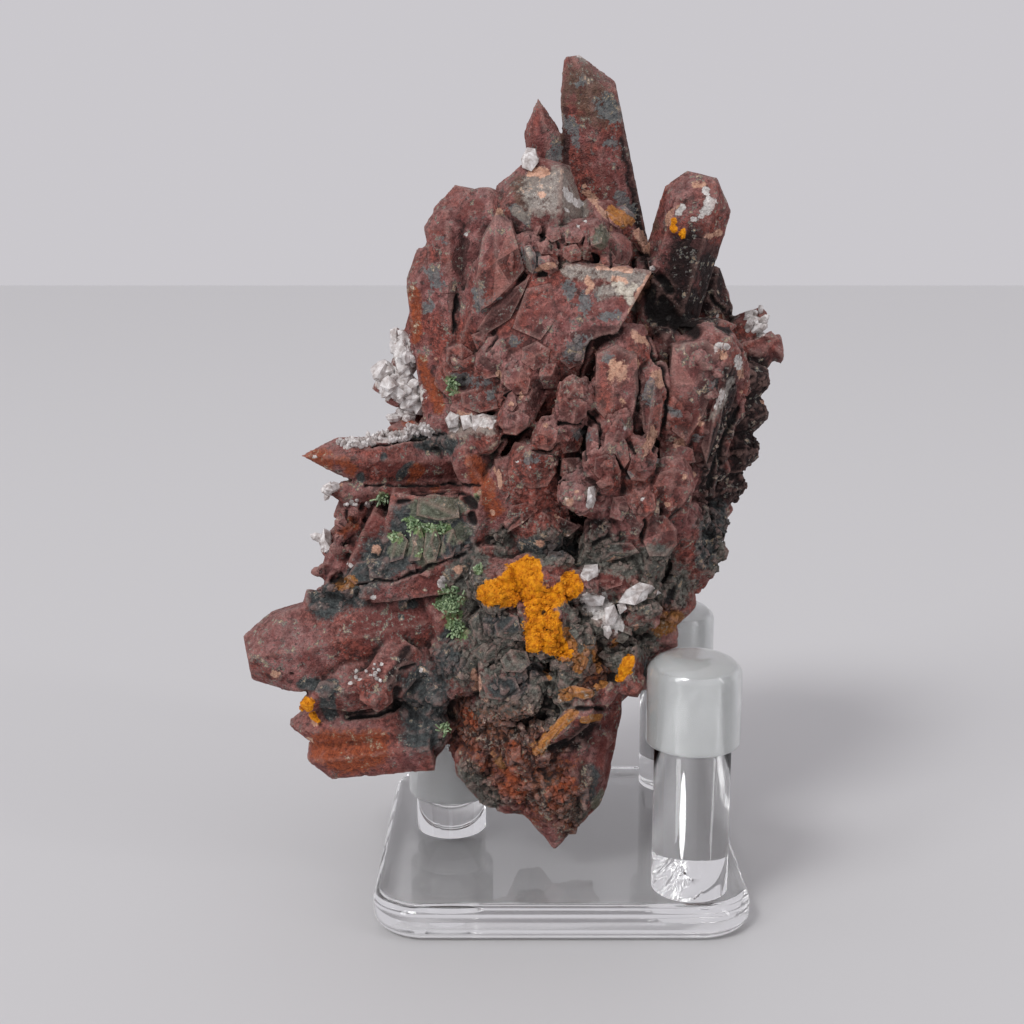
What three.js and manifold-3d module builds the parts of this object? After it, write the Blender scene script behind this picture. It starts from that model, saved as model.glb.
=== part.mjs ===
// Cluster of iron-stained quartz crystals resting on a clear three-peg display stand.
// Millimetres. +X to the right, +Y to the back, +Z up. The origin is the centre of the plate's underside.

import * as THREE from 'three';
import { ConvexGeometry } from 'three/addons/geometries/ConvexGeometry.js';
import { mergeVertices } from 'three/addons/utils/BufferGeometryUtils.js';
import Module from 'manifold-3d';

const wasm = await Module();
wasm.setup();

// Driving dimensions of the stand.
const PLATE_SIDE = 63.5;
const PLATE_THICKNESS = 6;
const PLATE_CORNER = 9;
const PLATE_ROUNDING = 2.4;
const PEG_DIAMETER = 12.7;
const CAP_DIAMETER = 15.5;
const CAP_HEIGHT = 15;
const CAP_CROWN = 3.2;
const CAP_SHOULDER = 5;
const CAP_ROOF = 2.4;
const CAP_RIM_CHAMFER = 0.6;
const FIT_GAP = 0.3;
const ROUND_SIDES = 20;
const CROWN_STEPS = 3;

// Where each peg stands on the plate, and how high the top of its cap is above the ground.
const PEGS = {
  left: { x: -19.5, y: 1.5, top: 28 },
  front_right: { x: 21.5, y: -23, top: 46.5 },
  back_right: { x: 23.5, y: 22.5, top: 43 },
};

// Proportions that most crystals share, as shares of their own width.
const USUAL_CRYSTAL = { taper: 0.88, flat: 0.88, point: 0.5, blunt: 0.2, roll: 0, lean: 0 };
// The blunt crystals that crowd the front and the right side.
const NESTED = { blunt: 0.5, point: 0.32 };

// How uneven they are: each side of a crystal turns and moves a little, its shoulders stagger, and a
// tip worn less than SHARP_BELOW still ends in a point. Small worn tips have three corners, not six.
const SIDE_TURN = 6;
const SIDE_REACH = [0.9, 1.1];
const SHOULDER_STAGGER = 0.14;
const TIP_STAGGER = 0.06;
const SHARP_BELOW = 0.15;
const SIX_CORNERS_FROM = 9.5;
const LONGEST_POINT = 0.6;

// Lumps: points of an uneven ball and how far they reach, and how much a block keeps of its corners.
const LUMP_POINTS = 14;
const LUMP_REACH = [1.05, 0.77];
const LUMP_TWIST = 0.9;
const BLOCK_KEEPS = [0.45, 0.85];
const BLOCK_REACH = [0.86, 1];

// The rock's surface keeps no edge shorter than this, and a face may turn this far (as a cosine).
const SHORTEST_EDGE = 0.7;
const KEEPS_FACING = 0.8;
const SMALLEST_FACE = 0.02;

// ---------------------------------------------------------------- shapes

// The same place and count always give the same value between 0 and 1.
const MIX = { x: 12.9898, y: 78.233, z: 37.719, count: 4.581, spread: 43758.5453 };
function chance(place, count) {
  const mixed = Math.sin(place.x * MIX.x + place.y * MIX.y + place.z * MIX.z + count * MIX.count);
  return mixed * MIX.spread - Math.floor(mixed * MIX.spread);
}

function between(low, high, share) {
  return low + (high - low) * share;
}

function toSolid(geometry) {
  geometry.deleteAttribute('normal');
  geometry.deleteAttribute('uv');
  const merged = mergeVertices(geometry, 1e-4);
  return new wasm.Manifold(new wasm.Mesh({
    numProp: 3,
    vertProperties: new Float32Array(merged.attributes.position.array),
    triVerts: new Uint32Array(merged.index.array),
  }));
}

function toGeometry(solid) {
  const mesh = solid.getMesh();
  const geometry = new THREE.BufferGeometry();
  geometry.setAttribute('position', new THREE.BufferAttribute(new Float32Array(mesh.vertProperties), 3));
  geometry.setIndex(new THREE.BufferAttribute(new Uint32Array(mesh.triVerts), 1));
  return geometry;
}

// A surface as a list of points, a list of triangles and, for each point, the triangles around it.
function toSurface(geometry) {
  const position = geometry.attributes.position;
  const points = Array.from({ length: position.count }, (_, i) => (
    new THREE.Vector3().fromBufferAttribute(position, i)));
  const triangles = [];
  for (let i = 0; i < geometry.index.count; i += 3) {
    triangles.push(Array.from(geometry.index.array.slice(i, i + 3)));
  }
  const around = points.map(() => new Set());
  triangles.forEach((triangle, name) => triangle.forEach((corner) => around[corner].add(name)));
  return { points, triangles, around };
}

function normalOf(a, b, c) {
  return b.clone().sub(a).cross(c.clone().sub(a));
}

// Draws corner `from` onto its neighbour `to` when the surface stays closed and no triangle folds over.
function drawTogether({ points, triangles, around }, from, to) {
  const neighbours = (corner) => new Set([...around[corner]].flatMap((name) => triangles[name]));
  const shared = [...neighbours(from)].filter((corner) => neighbours(to).has(corner));
  if (shared.length !== 4) {
    return false;
  }
  const moving = [...around[from]].filter((name) => !triangles[name].includes(to));
  const folds = moving.some((name) => {
    const before = normalOf(...triangles[name].map((corner) => points[corner]));
    const after = normalOf(...triangles[name].map((corner) => points[corner === from ? to : corner]));
    const turned = before.dot(after) < KEEPS_FACING * before.length() * after.length();
    return turned || after.length() < SMALLEST_FACE;
  });
  if (folds) {
    return false;
  }
  for (const name of around[from]) {
    triangles[name].forEach((corner) => corner !== from && around[corner].delete(name));
    if (triangles[name].includes(to)) {
      triangles[name] = null;
    } else {
      triangles[name] = triangles[name].map((corner) => (corner === from ? to : corner));
      triangles[name].forEach((corner) => around[corner].add(name));
    }
  }
  around[from].clear();
  return true;
}

// The surface with no edge shorter than the limit, wherever two crystals met in a thin sliver.
function withoutSlivers(geometry, limit) {
  const surface = toSurface(geometry);
  const { points, triangles } = surface;
  let changed = true;
  while (changed) {
    changed = false;
    const short = [];
    for (const triangle of triangles) {
      for (let side = 0; triangle && side < 3; side += 1) {
        const [a, b] = [triangle[side], triangle[(side + 1) % 3]];
        const length = points[a].distanceTo(points[b]);
        if (a < b && length < limit) {
          short.push([length, a, b]);
        }
      }
    }
    short.sort((p, q) => p[0] - q[0]);
    for (const [, a, b] of short) {
      const linked = [...surface.around[a]].some((name) => triangles[name].includes(b));
      if (linked && (drawTogether(surface, a, b) || drawTogether(surface, b, a))) {
        changed = true;
      }
    }
  }
  return surface;
}

// Keeps the outer skin alone, so that no pocket between crystals stays sealed inside the rock.
function outerSkin({ points, triangles, around }) {
  const reached = new Set();
  let largest = [];
  triangles.forEach((triangle, name) => {
    if (!triangle || reached.has(name)) {
      return;
    }
    const shell = [name];
    reached.add(name);
    for (let i = 0; i < shell.length; i += 1) {
      for (const corner of triangles[shell[i]]) {
        for (const next of around[corner]) {
          if (!reached.has(next)) {
            reached.add(next);
            shell.push(next);
          }
        }
      }
    }
    largest = shell.length > largest.length ? shell : largest;
  });
  const corners = largest.flatMap((name) => triangles[name].flatMap((corner) => points[corner].toArray()));
  const geometry = new THREE.BufferGeometry();
  geometry.setAttribute('position', new THREE.Float32BufferAttribute(corners, 3));
  return mergeVertices(geometry, 1e-5);
}

// Adds neighbours in pairs, so that no step joins one small solid to a very large one.
function joined(solids) {
  let rest = solids;
  while (rest.length > 1) {
    const pairs = [];
    for (let i = 0; i < rest.length; i += 2) {
      pairs.push(i + 1 < rest.length ? rest[i].add(rest[i + 1]) : rest[i]);
    }
    rest = pairs;
  }
  return rest[0];
}

const BACKWARD = new THREE.Vector3(0, 1, 0);

// A six-sided quartz crystal from its root to its tip. Its sides are uneven, its shoulders lie at
// alternate heights under the faces of the point, and blunt is the share left where the tip is worn.
function crystal(root, tip, width, shape = {}) {
  const { taper, flat, point, blunt, roll, lean } = { ...USUAL_CRYSTAL, ...shape };
  const start = new THREE.Vector3(...root);
  const end = new THREE.Vector3(...tip);
  const axis = end.clone().sub(start);
  const length = axis.length();
  axis.normalize();
  const across = BACKWARD.clone().cross(axis);
  if (across.length() < 0.3) {
    across.set(1, 0, 0).cross(axis);
  }
  across.normalize();
  const through = axis.clone().cross(across).normalize();
  const points = [];
  const ring = (along, size, alternate, step, shift) => {
    for (let side = 0; side < 6; side += step) {
      const turned = roll + between(-SIDE_TURN, SIDE_TURN, chance(end, side));
      const angle = THREE.MathUtils.degToRad(60 * side + 30 + turned);
      const reach = 0.5 * width * size * between(...SIDE_REACH, chance(end, side + 10));
      const height = along + alternate * (side % 2 === 0 ? 1 : -1);
      points.push(start.clone()
        .addScaledVector(axis, height)
        .addScaledVector(across, reach * Math.cos(angle) + shift)
        .addScaledVector(through, reach * flat * Math.sin(angle)));
    }
  };
  const shoulder = Math.max(length - point * width, length - LONGEST_POINT * length);
  ring(0, 1, 0, 1, 0);
  ring(shoulder, taper, SHOULDER_STAGGER * point * width, 1, 0);
  if (blunt < SHARP_BELOW) {
    points.push(end.clone().addScaledVector(across, lean * width));
  } else {
    const stagger = TIP_STAGGER * width;
    ring(length - stagger, taper * blunt, stagger, width > SIX_CORNERS_FROM ? 1 : 2, lean * width);
  }
  return toSolid(new ConvexGeometry(points));
}

// A rough lump: an uneven ball, or with corners a broken block.
function lump(centre, size, shape = {}) {
  const middle = new THREE.Vector3(...centre);
  const half = new THREE.Vector3(...size).multiplyScalar(0.5);
  const { corners = 0, count = LUMP_POINTS, turn = 0 } = shape;
  const tilt = new THREE.Quaternion().setFromAxisAngle(BACKWARD, THREE.MathUtils.degToRad(turn));
  const points = [];
  const place = (direction, reach) => points.push(direction.clone().multiplyScalar(reach)
    .multiply(half).applyQuaternion(tilt).add(middle));
  if (corners) {
    for (let corner = 0; corner < 8; corner += 1) {
      const [x, y, z] = [1, 2, 4].map((bit) => (corner & bit ? 1 : -1));
      const direction = new THREE.Vector3(x, y, z);
      for (let side = 0; side < 3; side += 1) {
        const chamfered = direction.clone();
        const kept = between(...BLOCK_KEEPS, chance(middle, corner + 8 * side));
        chamfered.setComponent(side, direction.getComponent(side) * kept);
        place(chamfered, between(...BLOCK_REACH, chance(middle, corner + 40)));
      }
    }
  } else {
    const golden = Math.PI * (3 - Math.sqrt(5));
    for (let i = 0; i < count; i += 1) {
      const height = 1 - 2 * (i + 0.5) / count;
      const radius = Math.sqrt(1 - height * height);
      const angle = golden * i + between(0, LUMP_TWIST, chance(middle, i));
      const direction = new THREE.Vector3(radius * Math.cos(angle), radius * Math.sin(angle), height);
      place(direction, between(...LUMP_REACH, chance(middle, i + 50)));
    }
  }
  return toSolid(new ConvexGeometry(points));
}

// A piece with corners of its own, listed in any order.
function shard(corners) {
  return toSolid(new ConvexGeometry(corners.map((corner) => new THREE.Vector3(...corner))));
}

// ---------------------------------------------------------------- the cluster, region by region

// Two spires, the dome-tipped crystal below them and the knobs on its front.
const crown = () => [
  crystal([9.5, 5, 106], [3.5, 2, 143], 15.5,
    { taper: 0.68, flat: 0.6, point: 0.38, blunt: 0.3, lean: -0.12 }),
  crystal([-1, 3, 118], [-4, 1, 136], 7.5, { flat: 0.7, point: 0.8, blunt: 0.1 }),
  lump([-5, 0, 125.5], [4, 3.5, 4]),
  crystal([-11, -2, 92], [-1.5, -8, 125], 20.5,
    { taper: 0.9, flat: 0.85, point: 0.36, blunt: 0.45, roll: 15 }),
  crystal([4.5, -4, 102], [6, -8, 119], 10.5, NESTED),
  lump([9, -7.5, 116], [7, 5, 5]),
  lump([11.5, -10, 111.5], [6.5, 6.5, 7.5]),
  lump([-4, -13.5, 110.5], [11.5, 9.5, 9.5]),
  lump([3.5, -13, 112], [11.5, 8.5, 9.5]),
];

// Two long blades side by side on the left, and the big crystal that leans out to the right.
const shoulder = () => [
  crystal([-22, -4, 92.5], [-15.5, -7, 121], 12.5,
    { flat: 0.7, taper: 0.85, point: 0.4, blunt: 0.45, roll: 10 }),
  crystal([-18, -7, 79], [-22.5, -6, 111.5], 10.5, { flat: 0.75, blunt: 0.4 }),
  crystal([-14, -8, 81], [-12, -8.5, 121], 11, { flat: 0.8, blunt: 0.45, roll: 8, point: 0.35 }),
  crystal([-18.5, -8, 83], [-19, -8.5, 117.5], 9, { flat: 0.8, blunt: 0.5, point: 0.35 }),
  crystal([-18, -6, 84.5], [-9, -15, 111.5], 10, { blunt: 0.45, roll: 25 }),
  shard([
    [-1.5, -17, 109], [13.5, -22, 108], [8, -23.5, 98.5], [-3.5, -19, 93.5], [-12, -15, 96.5],
    [-5.5, -15.5, 108], [1.5, -8, 110], [13.5, -14, 106.5], [8.5, -10, 97.5], [-10, -6, 92.5],
  ]),
  lump([-17, -10.5, 91], [9.5, 7.5, 10.5]),
  lump([-11.5, -12.5, 90], [10.5, 8.5, 10.5]),
  lump([-15, -12, 84.5], [8.5, 7.5, 7.5]),
];

// The finger that rises on the right, and the crystals behind and below it.
const rightCrown = () => [
  crystal([13.5, 3, 83.5], [24, -3, 123], 13,
    { taper: 0.95, flat: 0.95, point: 0.3, blunt: 0.55, roll: 20 }),
  crystal([23.5, 12, 91], [27.5, 8, 108], 11.5, { roll: 10 }),
  crystal([27, 8, 89], [36, 6, 100.5], 8.5, { blunt: 0.3 }),
  crystal([27.5, 5, 85.5], [38, 4, 96], 7.5, { blunt: 0.5 }),
  lump([24, -5, 98], [13.5, 11.5, 5]),
  crystal([19, -9, 75.5], [24.5, -18, 99], 14,
    { taper: 0.92, flat: 0.85, point: 0.3, blunt: 0.6, roll: 25 }),
  crystal([22, -9, 71.5], [29, -12, 95], 8, { flat: 0.85, blunt: 0.4 }),
  lump([27, -15.5, 95.5], [5.5, 5.5, 4.5]),
];

// Nested blunt crystals that fan up and out of the front.
const heart = () => [
  crystal([7.5, -13, 76], [10.5, -20, 99.5], 12,
    { taper: 0.9, flat: 0.85, point: 0.3, blunt: 0.5, roll: 12 }),
  crystal([11, -16, 78.5], [14.5, -21.5, 94], 8, { blunt: 0.45, point: 0.35 }),
  crystal([3, -12, 89.5], [2, -20, 99], 9.5, { ...NESTED, blunt: 0.6 }),
  crystal([1, -16, 78.5], [2, -24, 91.5], 8, NESTED),
  crystal([-3.5, -13, 91.5], [-8.5, -21, 83], 7.5, { ...NESTED, blunt: 0.6 }),
  crystal([-1.5, -15, 72.5], [-2, -22, 85], 8.5, NESTED),
  crystal([-3.5, -13, 65], [-5.5, -20, 81], 11, { ...NESTED, blunt: 0.6 }),
  crystal([3.5, -14, 78], [1.5, -26.5, 71.5], 8, { ...NESTED, blunt: 0.6 }),
  crystal([6, -18, 69.5], [6, -25, 81.5], 8, NESTED),
  crystal([10.5, -17, 69.5], [12, -23.5, 82], 8, NESTED),
  crystal([15.5, -13, 63], [17.5, -21.5, 78.5], 10, { ...NESTED, blunt: 0.4 }),
  crystal([11.5, -15, 61.5], [12, -23, 74], 8.5, { ...NESTED, blunt: 0.55 }),
  crystal([7, -17, 77], [8, -24, 86], 8, NESTED),
  crystal([12, -12, 53], [15, -20, 69], 9.5, NESTED),
  crystal([19, -10, 56.5], [20.5, -16, 70], 8.5, NESTED),
  crystal([6, -14, 57.5], [7, -20, 69], 9.5, NESTED),
  crystal([-10, -10, 62], [-9, -16.5, 77], 10.5, { ...NESTED, blunt: 0.6 }),
  crystal([-14.5, -11, 60.5], [-13, -15, 74.5], 9.5, NESTED),
  crystal([-4, -13, 59], [-3, -18.5, 70], 9.5, NESTED),
  crystal([-11, -11, 68], [-16, -15.5, 80], 8, NESTED),
  crystal([-7, -12, 81.5], [-5.5, -17.5, 95.5], 9.5, NESTED),
  crystal([-3, -12, 85.5], [-1, -18, 98], 8.5, NESTED),
  crystal([-11, -10, 85], [-10.5, -16, 97], 8.5, NESTED),
  crystal([4.5, -10, 91], [6, -18, 101], 10.5, { ...NESTED, blunt: 0.6 }),
  crystal([16.5, -13, 78], [17.5, -20, 89], 9, NESTED),
  crystal([21.5, -10, 73.5], [23, -17, 86.5], 9, NESTED),
  crystal([15.5, -9, 87], [16.5, -15.5, 98.5], 8.5, { ...NESTED, blunt: 0.55 }),
];

// The long blade that points left, its white druse and the pale stub at its root.
const leftBlade = () => [
  crystal([-12, -4, 75], [-43.5, -12, 77.5], 9, { taper: 0.85, flat: 0.75, point: 0.8, blunt: 0.1 }),
  crystal([-14, -6, 71.5], [-39, -11, 71], 4.5, { flat: 0.8 }),
  lump([-22, -6, 79.5], [9, 8, 8]),
  lump([-33.5, -9, 79], [9.5, 5, 3]),
  lump([-26.5, -7, 81], [8, 5, 4.5]),
  lump([-38, -11, 71.5], [4, 2.5, 2.5]),
  crystal([-19, -7, 78.5], [-10.5, -19, 82.5], 8, { blunt: 0.75, point: 0.22, roll: 30 }),
  lump([-27, -3, 95], [5.5, 5, 6]),
  lump([-27, -3, 91.5], [6, 5, 6.5]),
  lump([-29.5, -4, 88.5], [6, 5, 5]),
  lump([-26.5, -4, 86.5], [8.5, 6, 6.5]),
  lump([-23.5, -3.5, 85], [7, 6, 6.5]),
  lump([-26, -4, 82.5], [7.5, 5.5, 4.5]),
];

// Blocks under the blade with green grains on them, and the small crystals at their left end.
const greenBlocks = () => [
  lump([-22, -9, 63.5], [17.5, 13.5, 15.5], { corners: 1, turn: 12 }),
  lump([-29.5, -9, 59.5], [12.5, 11.5, 14.5], { corners: 1, turn: 28 }),
  lump([-22, -10.5, 69], [11.5, 9.5, 5], { corners: 1, turn: -4 }),
  lump([-19.5, -11, 58.5], [28.5, 12.5, 8.5], { corners: 1, turn: -7 }),
  crystal([-27.5, -5, 69], [-40, -12, 56], 7.5, { flat: 0.8, blunt: 0.3 }),
  crystal([-31.5, -5, 68], [-40.5, -8, 59.5], 6.5, { blunt: 0.5 }),
  lump([-35.5, -9, 67.5], [8.5, 6, 5.5]),
  lump([-35, -11, 62.5], [5.5, 5.5, 8.5]),
  lump([-37, -12, 54.5], [10.5, 6.5, 5]),
  lump([-41, -12, 52], [7.5, 6.5, 6.5]),
];

// The crystals that point down to the left, above the left peg.
const lowerLeft = () => [
  crystal([-14, -5, 49.5], [-53, -15, 43.5], 21.5,
    { taper: 0.74, flat: 0.85, point: 0.3, blunt: 0.55, roll: 10 }),
  crystal([-23, -12, 41.5], [-42.5, -17, 37.5], 11.5, { blunt: 0.5 }),
  crystal([-26, -14, 44.5], [-32, -21, 37], 9.5, { blunt: 0.5 }),
  crystal([-22, -12.5, 31], [-46.5, -13, 31], 10.5, { point: 0.5 }),
  crystal([-22, -13, 28], [-43.5, -12.5, 25], 10.5, NESTED),
  lump([-42.5, -17, 36], [4, 3.5, 3.5]),
  lump([-23.5, -12.5, 35], [12, 11.5, 13.5]),
  lump([-22.5, -11.5, 29.5], [10.5, 10.5, 10.5]),
];

// Dark iron-stained matrix with white quartz in it.
const matrix = () => [
  lump([-18, -12, 51], [15.5, 13, 17.5]),
  lump([-16.5, -14, 43], [15, 13, 15]),
  lump([-9, -17, 48.5], [16, 13, 16]),
  lump([-8, -18, 40.5], [16, 13, 15]),
  lump([-10.5, -18, 57], [15, 11.5, 10.5]),
  lump([-4, -18.5, 59], [14, 11.5, 10]),
  lump([2.5, -19, 57.5], [12.5, 10.5, 8]),
  lump([-3, -20, 51.5], [11.5, 10.5, 16]),
  lump([2, -20, 46.5], [10.5, 10.5, 13.5]),
  lump([7.5, -17, 51.5], [13, 11.5, 13]),
  lump([8, -16.5, 58.5], [15, 12, 10.5]),
  lump([17.5, -11, 53.5], [12, 12, 13]),
  lump([10, -17, 43.5], [11.5, 11.5, 11.5]),
  lump([3, -19, 40.5], [15, 10.5, 10.5]),
  lump([23, -8, 60], [12, 13.5, 15.5]),
  shard([
    [8, -19, 52.5], [9, -20, 56], [12.5, -20, 58], [16, -21, 57.5], [15.5, -22, 56.5],
    [10, -21.5, 53], [12.5, -14, 54.5], [9, -14, 52],
  ]),
  crystal([10, -12, 48], [15, -21, 54], 6.5, { blunt: 0.6, point: 0.3 }),
  crystal([7.5, -5, 42], [16.5, -12.5, 39.5], 9.5, { blunt: 0.65, point: 0.25 }),
  crystal([10.5, -8, 46], [19, -16, 47], 9, { blunt: 0.5 }),
];

// The dark wedge that hangs down between the pegs and ends in a point.
const wedge = () => [
  crystal([-3.5, -15, 35], [6.5, -22.5, 41], 5.5, { flat: 0.7, blunt: 0.5 }),
  crystal([-5, -18, 28], [5, -23, 38], 5.5, { flat: 0.7, blunt: 0.5 }),
  shard([
    [-19.5, -12, 38], [-19, -12, 25], [-16.5, -12, 19], [-13.5, -13, 16], [-9.5, -14, 15],
    [-5, -15, 15], [-0.5, -17, 18.5], [1, -20, 40.5], [-13.5, -17, 36], [-12, -16, 20.5],
    [-5.5, -19, 22], [-16, -2, 36.5], [0, 0, 38], [-13, -5, 18], [-4, -6, 15.5],
  ]),
  shard([
    [-7, -15, 15.5], [-3.5, -15.5, 12], [-1, -16, 9], [2, -16, 12.5], [7, -15, 17], [8, -15, 20],
    [10.5, -14, 33], [10.5, -13, 36.5], [3, -20, 37], [2.5, -19, 20], [-3.5, -19, 20],
    [-8, -18, 36.5], [1.5, -10, 12.5], [7.5, -6, 16.5], [9, -2, 34.5], [-4, -2, 30.5],
  ]),
  crystal([7, -11, 39.5], [4, -19, 17.5], 8, { taper: 0.8, flat: 0.9, point: 0.8, blunt: 0.3, roll: 12 }),
  lump([-14, -14, 24], [9.5, 8.5, 12]),
  lump([-5, -18, 29], [10, 7.5, 10]),
  lump([0.5, -18, 21.5], [7.5, 5.5, 9]),
];

// Small crystals that point out of the right side.
const rightFlank = () => [
  crystal([25, 1, 87], [36, -1, 89.5], 9, NESTED),
  crystal([23, 0, 81], [36, 0, 83.5], 9, NESTED),
  crystal([21, 0, 75], [34.5, -1, 77], 9, NESTED),
  crystal([19, 0, 69], [32.5, 0, 70.5], 9, NESTED),
  crystal([18, -2, 63.5], [29.5, -2, 64], 8.5, NESTED),
  crystal([14.5, -4, 57], [27.5, -3, 57], 9, NESTED),
  crystal([11.5, -4, 50], [24, -4, 50.5], 9, NESTED),
  crystal([10.5, -4, 45], [21, -5, 45], 7, NESTED),
  crystal([21.5, -5, 82.5], [30, -10, 85], 8, NESTED),
  crystal([19.5, -6, 74], [27.5, -11.5, 76], 8, NESTED),
  crystal([16.5, -6, 65], [24.5, -12, 67.5], 8, NESTED),
  crystal([14.5, -7, 56.5], [22.5, -12, 58], 7.5, NESTED),
  crystal([24, 9, 83], [36, 12, 88.5], 10.5),
  crystal([21, 8, 72], [34.5, 11, 76], 10.5),
  crystal([19, 7, 61], [32, 9, 64.5], 10.5),
];

// The side away from the fan: broad crystals that lean up and outward.
const back = () => [
  crystal([2, 10, 92], [-2, 16, 125], 13, { taper: 0.8, flat: 0.8, point: 0.4 }),
  crystal([-10, 9, 88], [-15, 14, 115], 13, { blunt: 0.4, point: 0.35 }),
  crystal([13, 12, 86], [17.5, 18, 112], 12.5, { blunt: 0.4 }),
  crystal([-2, 15, 82], [-6, 27, 108], 13, { blunt: 0.35 }),
  crystal([8, 16, 80], [11, 29, 105], 12, { blunt: 0.4 }),
  crystal([18, 14, 78], [26, 22, 102], 12),
  crystal([-13, 12, 78], [-21.5, 20, 100], 12, { blunt: 0.4 }),
  crystal([1, 18, 70], [0, 35, 94], 13.5, { blunt: 0.4 }),
  crystal([13, 18, 68], [18, 32, 89], 12.5, { blunt: 0.3 }),
  crystal([-10, 16, 66], [-16, 30, 87], 13, { blunt: 0.4 }),
  crystal([22, 13, 66], [31, 22, 85], 12, { blunt: 0.4 }),
  crystal([-18, 9, 64], [-27, 16, 86], 12, { blunt: 0.4 }),
  crystal([5, 18, 58], [7, 36, 76], 13.5, { blunt: 0.45 }),
  crystal([-6, 16, 56], [-10, 34, 72], 13.5, { blunt: 0.4 }),
  crystal([16, 15, 56], [24, 30, 72], 12, { blunt: 0.4 }),
  crystal([-17, 12, 56], [-27, 24, 70], 12, { blunt: 0.3 }),
  crystal([-16, 7, 52], [-36, 11, 63], 11, { blunt: 0.3 }),
  crystal([-18, 2, 62], [-32, 2, 79], 10, { blunt: 0.3 }),
  crystal([-12, 7, 45], [-44, 12, 39], 16, { taper: 0.8, blunt: 0.4 }),
  crystal([-8, 10, 38], [-30, 21, 33], 12, { blunt: 0.4 }),
  crystal([4, 5, 42], [5, 17, 25], 14, { blunt: 0.45 }),
  crystal([-3, 2, 38], [-5, 8, 18], 13, { blunt: 0.4 }),
  lump([0, 20, 49], [26, 24, 26]),
  lump([13, 15, 52], [22, 24, 24]),
  lump([-15, 13, 46], [24, 22, 24]),
  lump([5, 11, 38], [22, 20, 18]),
  lump([-30, 0, 43], [18, 18, 17]),
];

// The body of the rock that all of it grows from, down to the seats on the three caps.
const body = () => [
  lump([-1, 3, 92], [38, 28, 38], { count: 20 }),
  lump([6, 3, 76], [44, 42, 38], { count: 20 }),
  lump([1, 2, 57], [42, 44, 36], { count: 20 }),
  lump([-2, -3, 42], [38, 36, 30], { count: 20 }),
  lump([-19, 2, 37.5], [15, 15, 19.5]),
  lump([22, 20, 54], [18, 18, 22.5]),
];

// ---------------------------------------------------------------- the stand

function plateGeometry() {
  const half = PLATE_SIDE / 2 - PLATE_ROUNDING;
  const corner = PLATE_CORNER - PLATE_ROUNDING;
  const outline = new THREE.Shape();
  const quarter = Math.PI / 2;
  const centres = [[1, 1], [-1, 1], [-1, -1], [1, -1]];
  centres.forEach(([sx, sy], turn) => {
    const [x, y] = [sx * (half - corner), sy * (half - corner)];
    outline.absarc(x, y, corner, turn * quarter, (turn + 1) * quarter);
  });
  outline.closePath();
  const geometry = new THREE.ExtrudeGeometry(outline, {
    depth: PLATE_THICKNESS - 2 * PLATE_ROUNDING,
    bevelThickness: PLATE_ROUNDING,
    bevelSize: PLATE_ROUNDING,
    bevelSegments: 2,
    curveSegments: 4,
  });
  return geometry.translate(0, 0, PLATE_ROUNDING);
}

function pegGeometry(peg) {
  const height = peg.top - CAP_ROOF - PLATE_THICKNESS;
  return new THREE.CylinderGeometry(PEG_DIAMETER / 2, PEG_DIAMETER / 2, height, ROUND_SIDES)
    .rotateX(Math.PI / 2)
    .translate(peg.x, peg.y, PLATE_THICKNESS + height / 2);
}

// A soft cup over the peg. Its profile runs down the domed outside and back up the bore.
function capGeometry(peg, growth = 0, filled = false) {
  const radius = CAP_DIAMETER / 2 + growth;
  const bore = PEG_DIAMETER / 2 + FIT_GAP;
  const top = peg.top + growth;
  const rim = peg.top - CAP_HEIGHT - growth;
  const profile = [new THREE.Vector2(0, filled ? rim : peg.top - CAP_ROOF)];
  if (filled) {
    profile.push(new THREE.Vector2(radius, rim));
  } else {
    profile.push(new THREE.Vector2(bore, peg.top - CAP_ROOF));
    profile.push(new THREE.Vector2(bore, rim));
    profile.push(new THREE.Vector2(radius - CAP_RIM_CHAMFER, rim));
    profile.push(new THREE.Vector2(radius, rim + CAP_RIM_CHAMFER));
  }
  const flatTop = radius - CAP_SHOULDER;
  for (let i = 0; i <= CROWN_STEPS; i += 1) {
    const angle = (i / CROWN_STEPS) * Math.PI / 2;
    profile.push(new THREE.Vector2(
      flatTop + (radius - flatTop) * Math.cos(angle),
      top - CAP_CROWN + CAP_CROWN * Math.sin(angle),
    ));
  }
  profile.push(new THREE.Vector2(0, top));
  return new THREE.LatheGeometry(profile, ROUND_SIDES).rotateX(Math.PI / 2).translate(peg.x, peg.y, 0);
}

// ---------------------------------------------------------------- the assembly

const stained = new THREE.MeshStandardMaterial({ color: 0x74483f, roughness: 0.85, metalness: 0 });
const acrylic = new THREE.MeshStandardMaterial({ color: 0xeef2f4, roughness: 0.05, metalness: 0 });
acrylic.transparent = true;
acrylic.opacity = 0.35;
const softClear = new THREE.MeshStandardMaterial({ color: 0xdfe6e0, roughness: 0.35, metalness: 0 });
softClear.transparent = true;
softClear.opacity = 0.6;

const group = new THREE.Group();
function place(name, geometry, material) {
  const mesh = new THREE.Mesh(geometry, material);
  mesh.name = name;
  group.add(mesh);
}

const regions = [crown, shoulder, rightCrown, heart, leftBlade, greenBlocks, lowerLeft, matrix, wedge,
  rightFlank, back, body];
let cluster = joined(regions.map((region) => joined(region())));
for (const peg of Object.values(PEGS)) {
  cluster = cluster.subtract(toSolid(capGeometry(peg, FIT_GAP, true)));
}
place('quartz_cluster', outerSkin(withoutSlivers(toGeometry(cluster), SHORTEST_EDGE)), stained);
place('stand_base', plateGeometry(), acrylic);
for (const [side, peg] of Object.entries(PEGS)) {
  place(`peg_${side}`, pegGeometry(peg), acrylic);
  place(`cap_${side}`, capGeometry(peg), softClear);
}

export default group;
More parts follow.
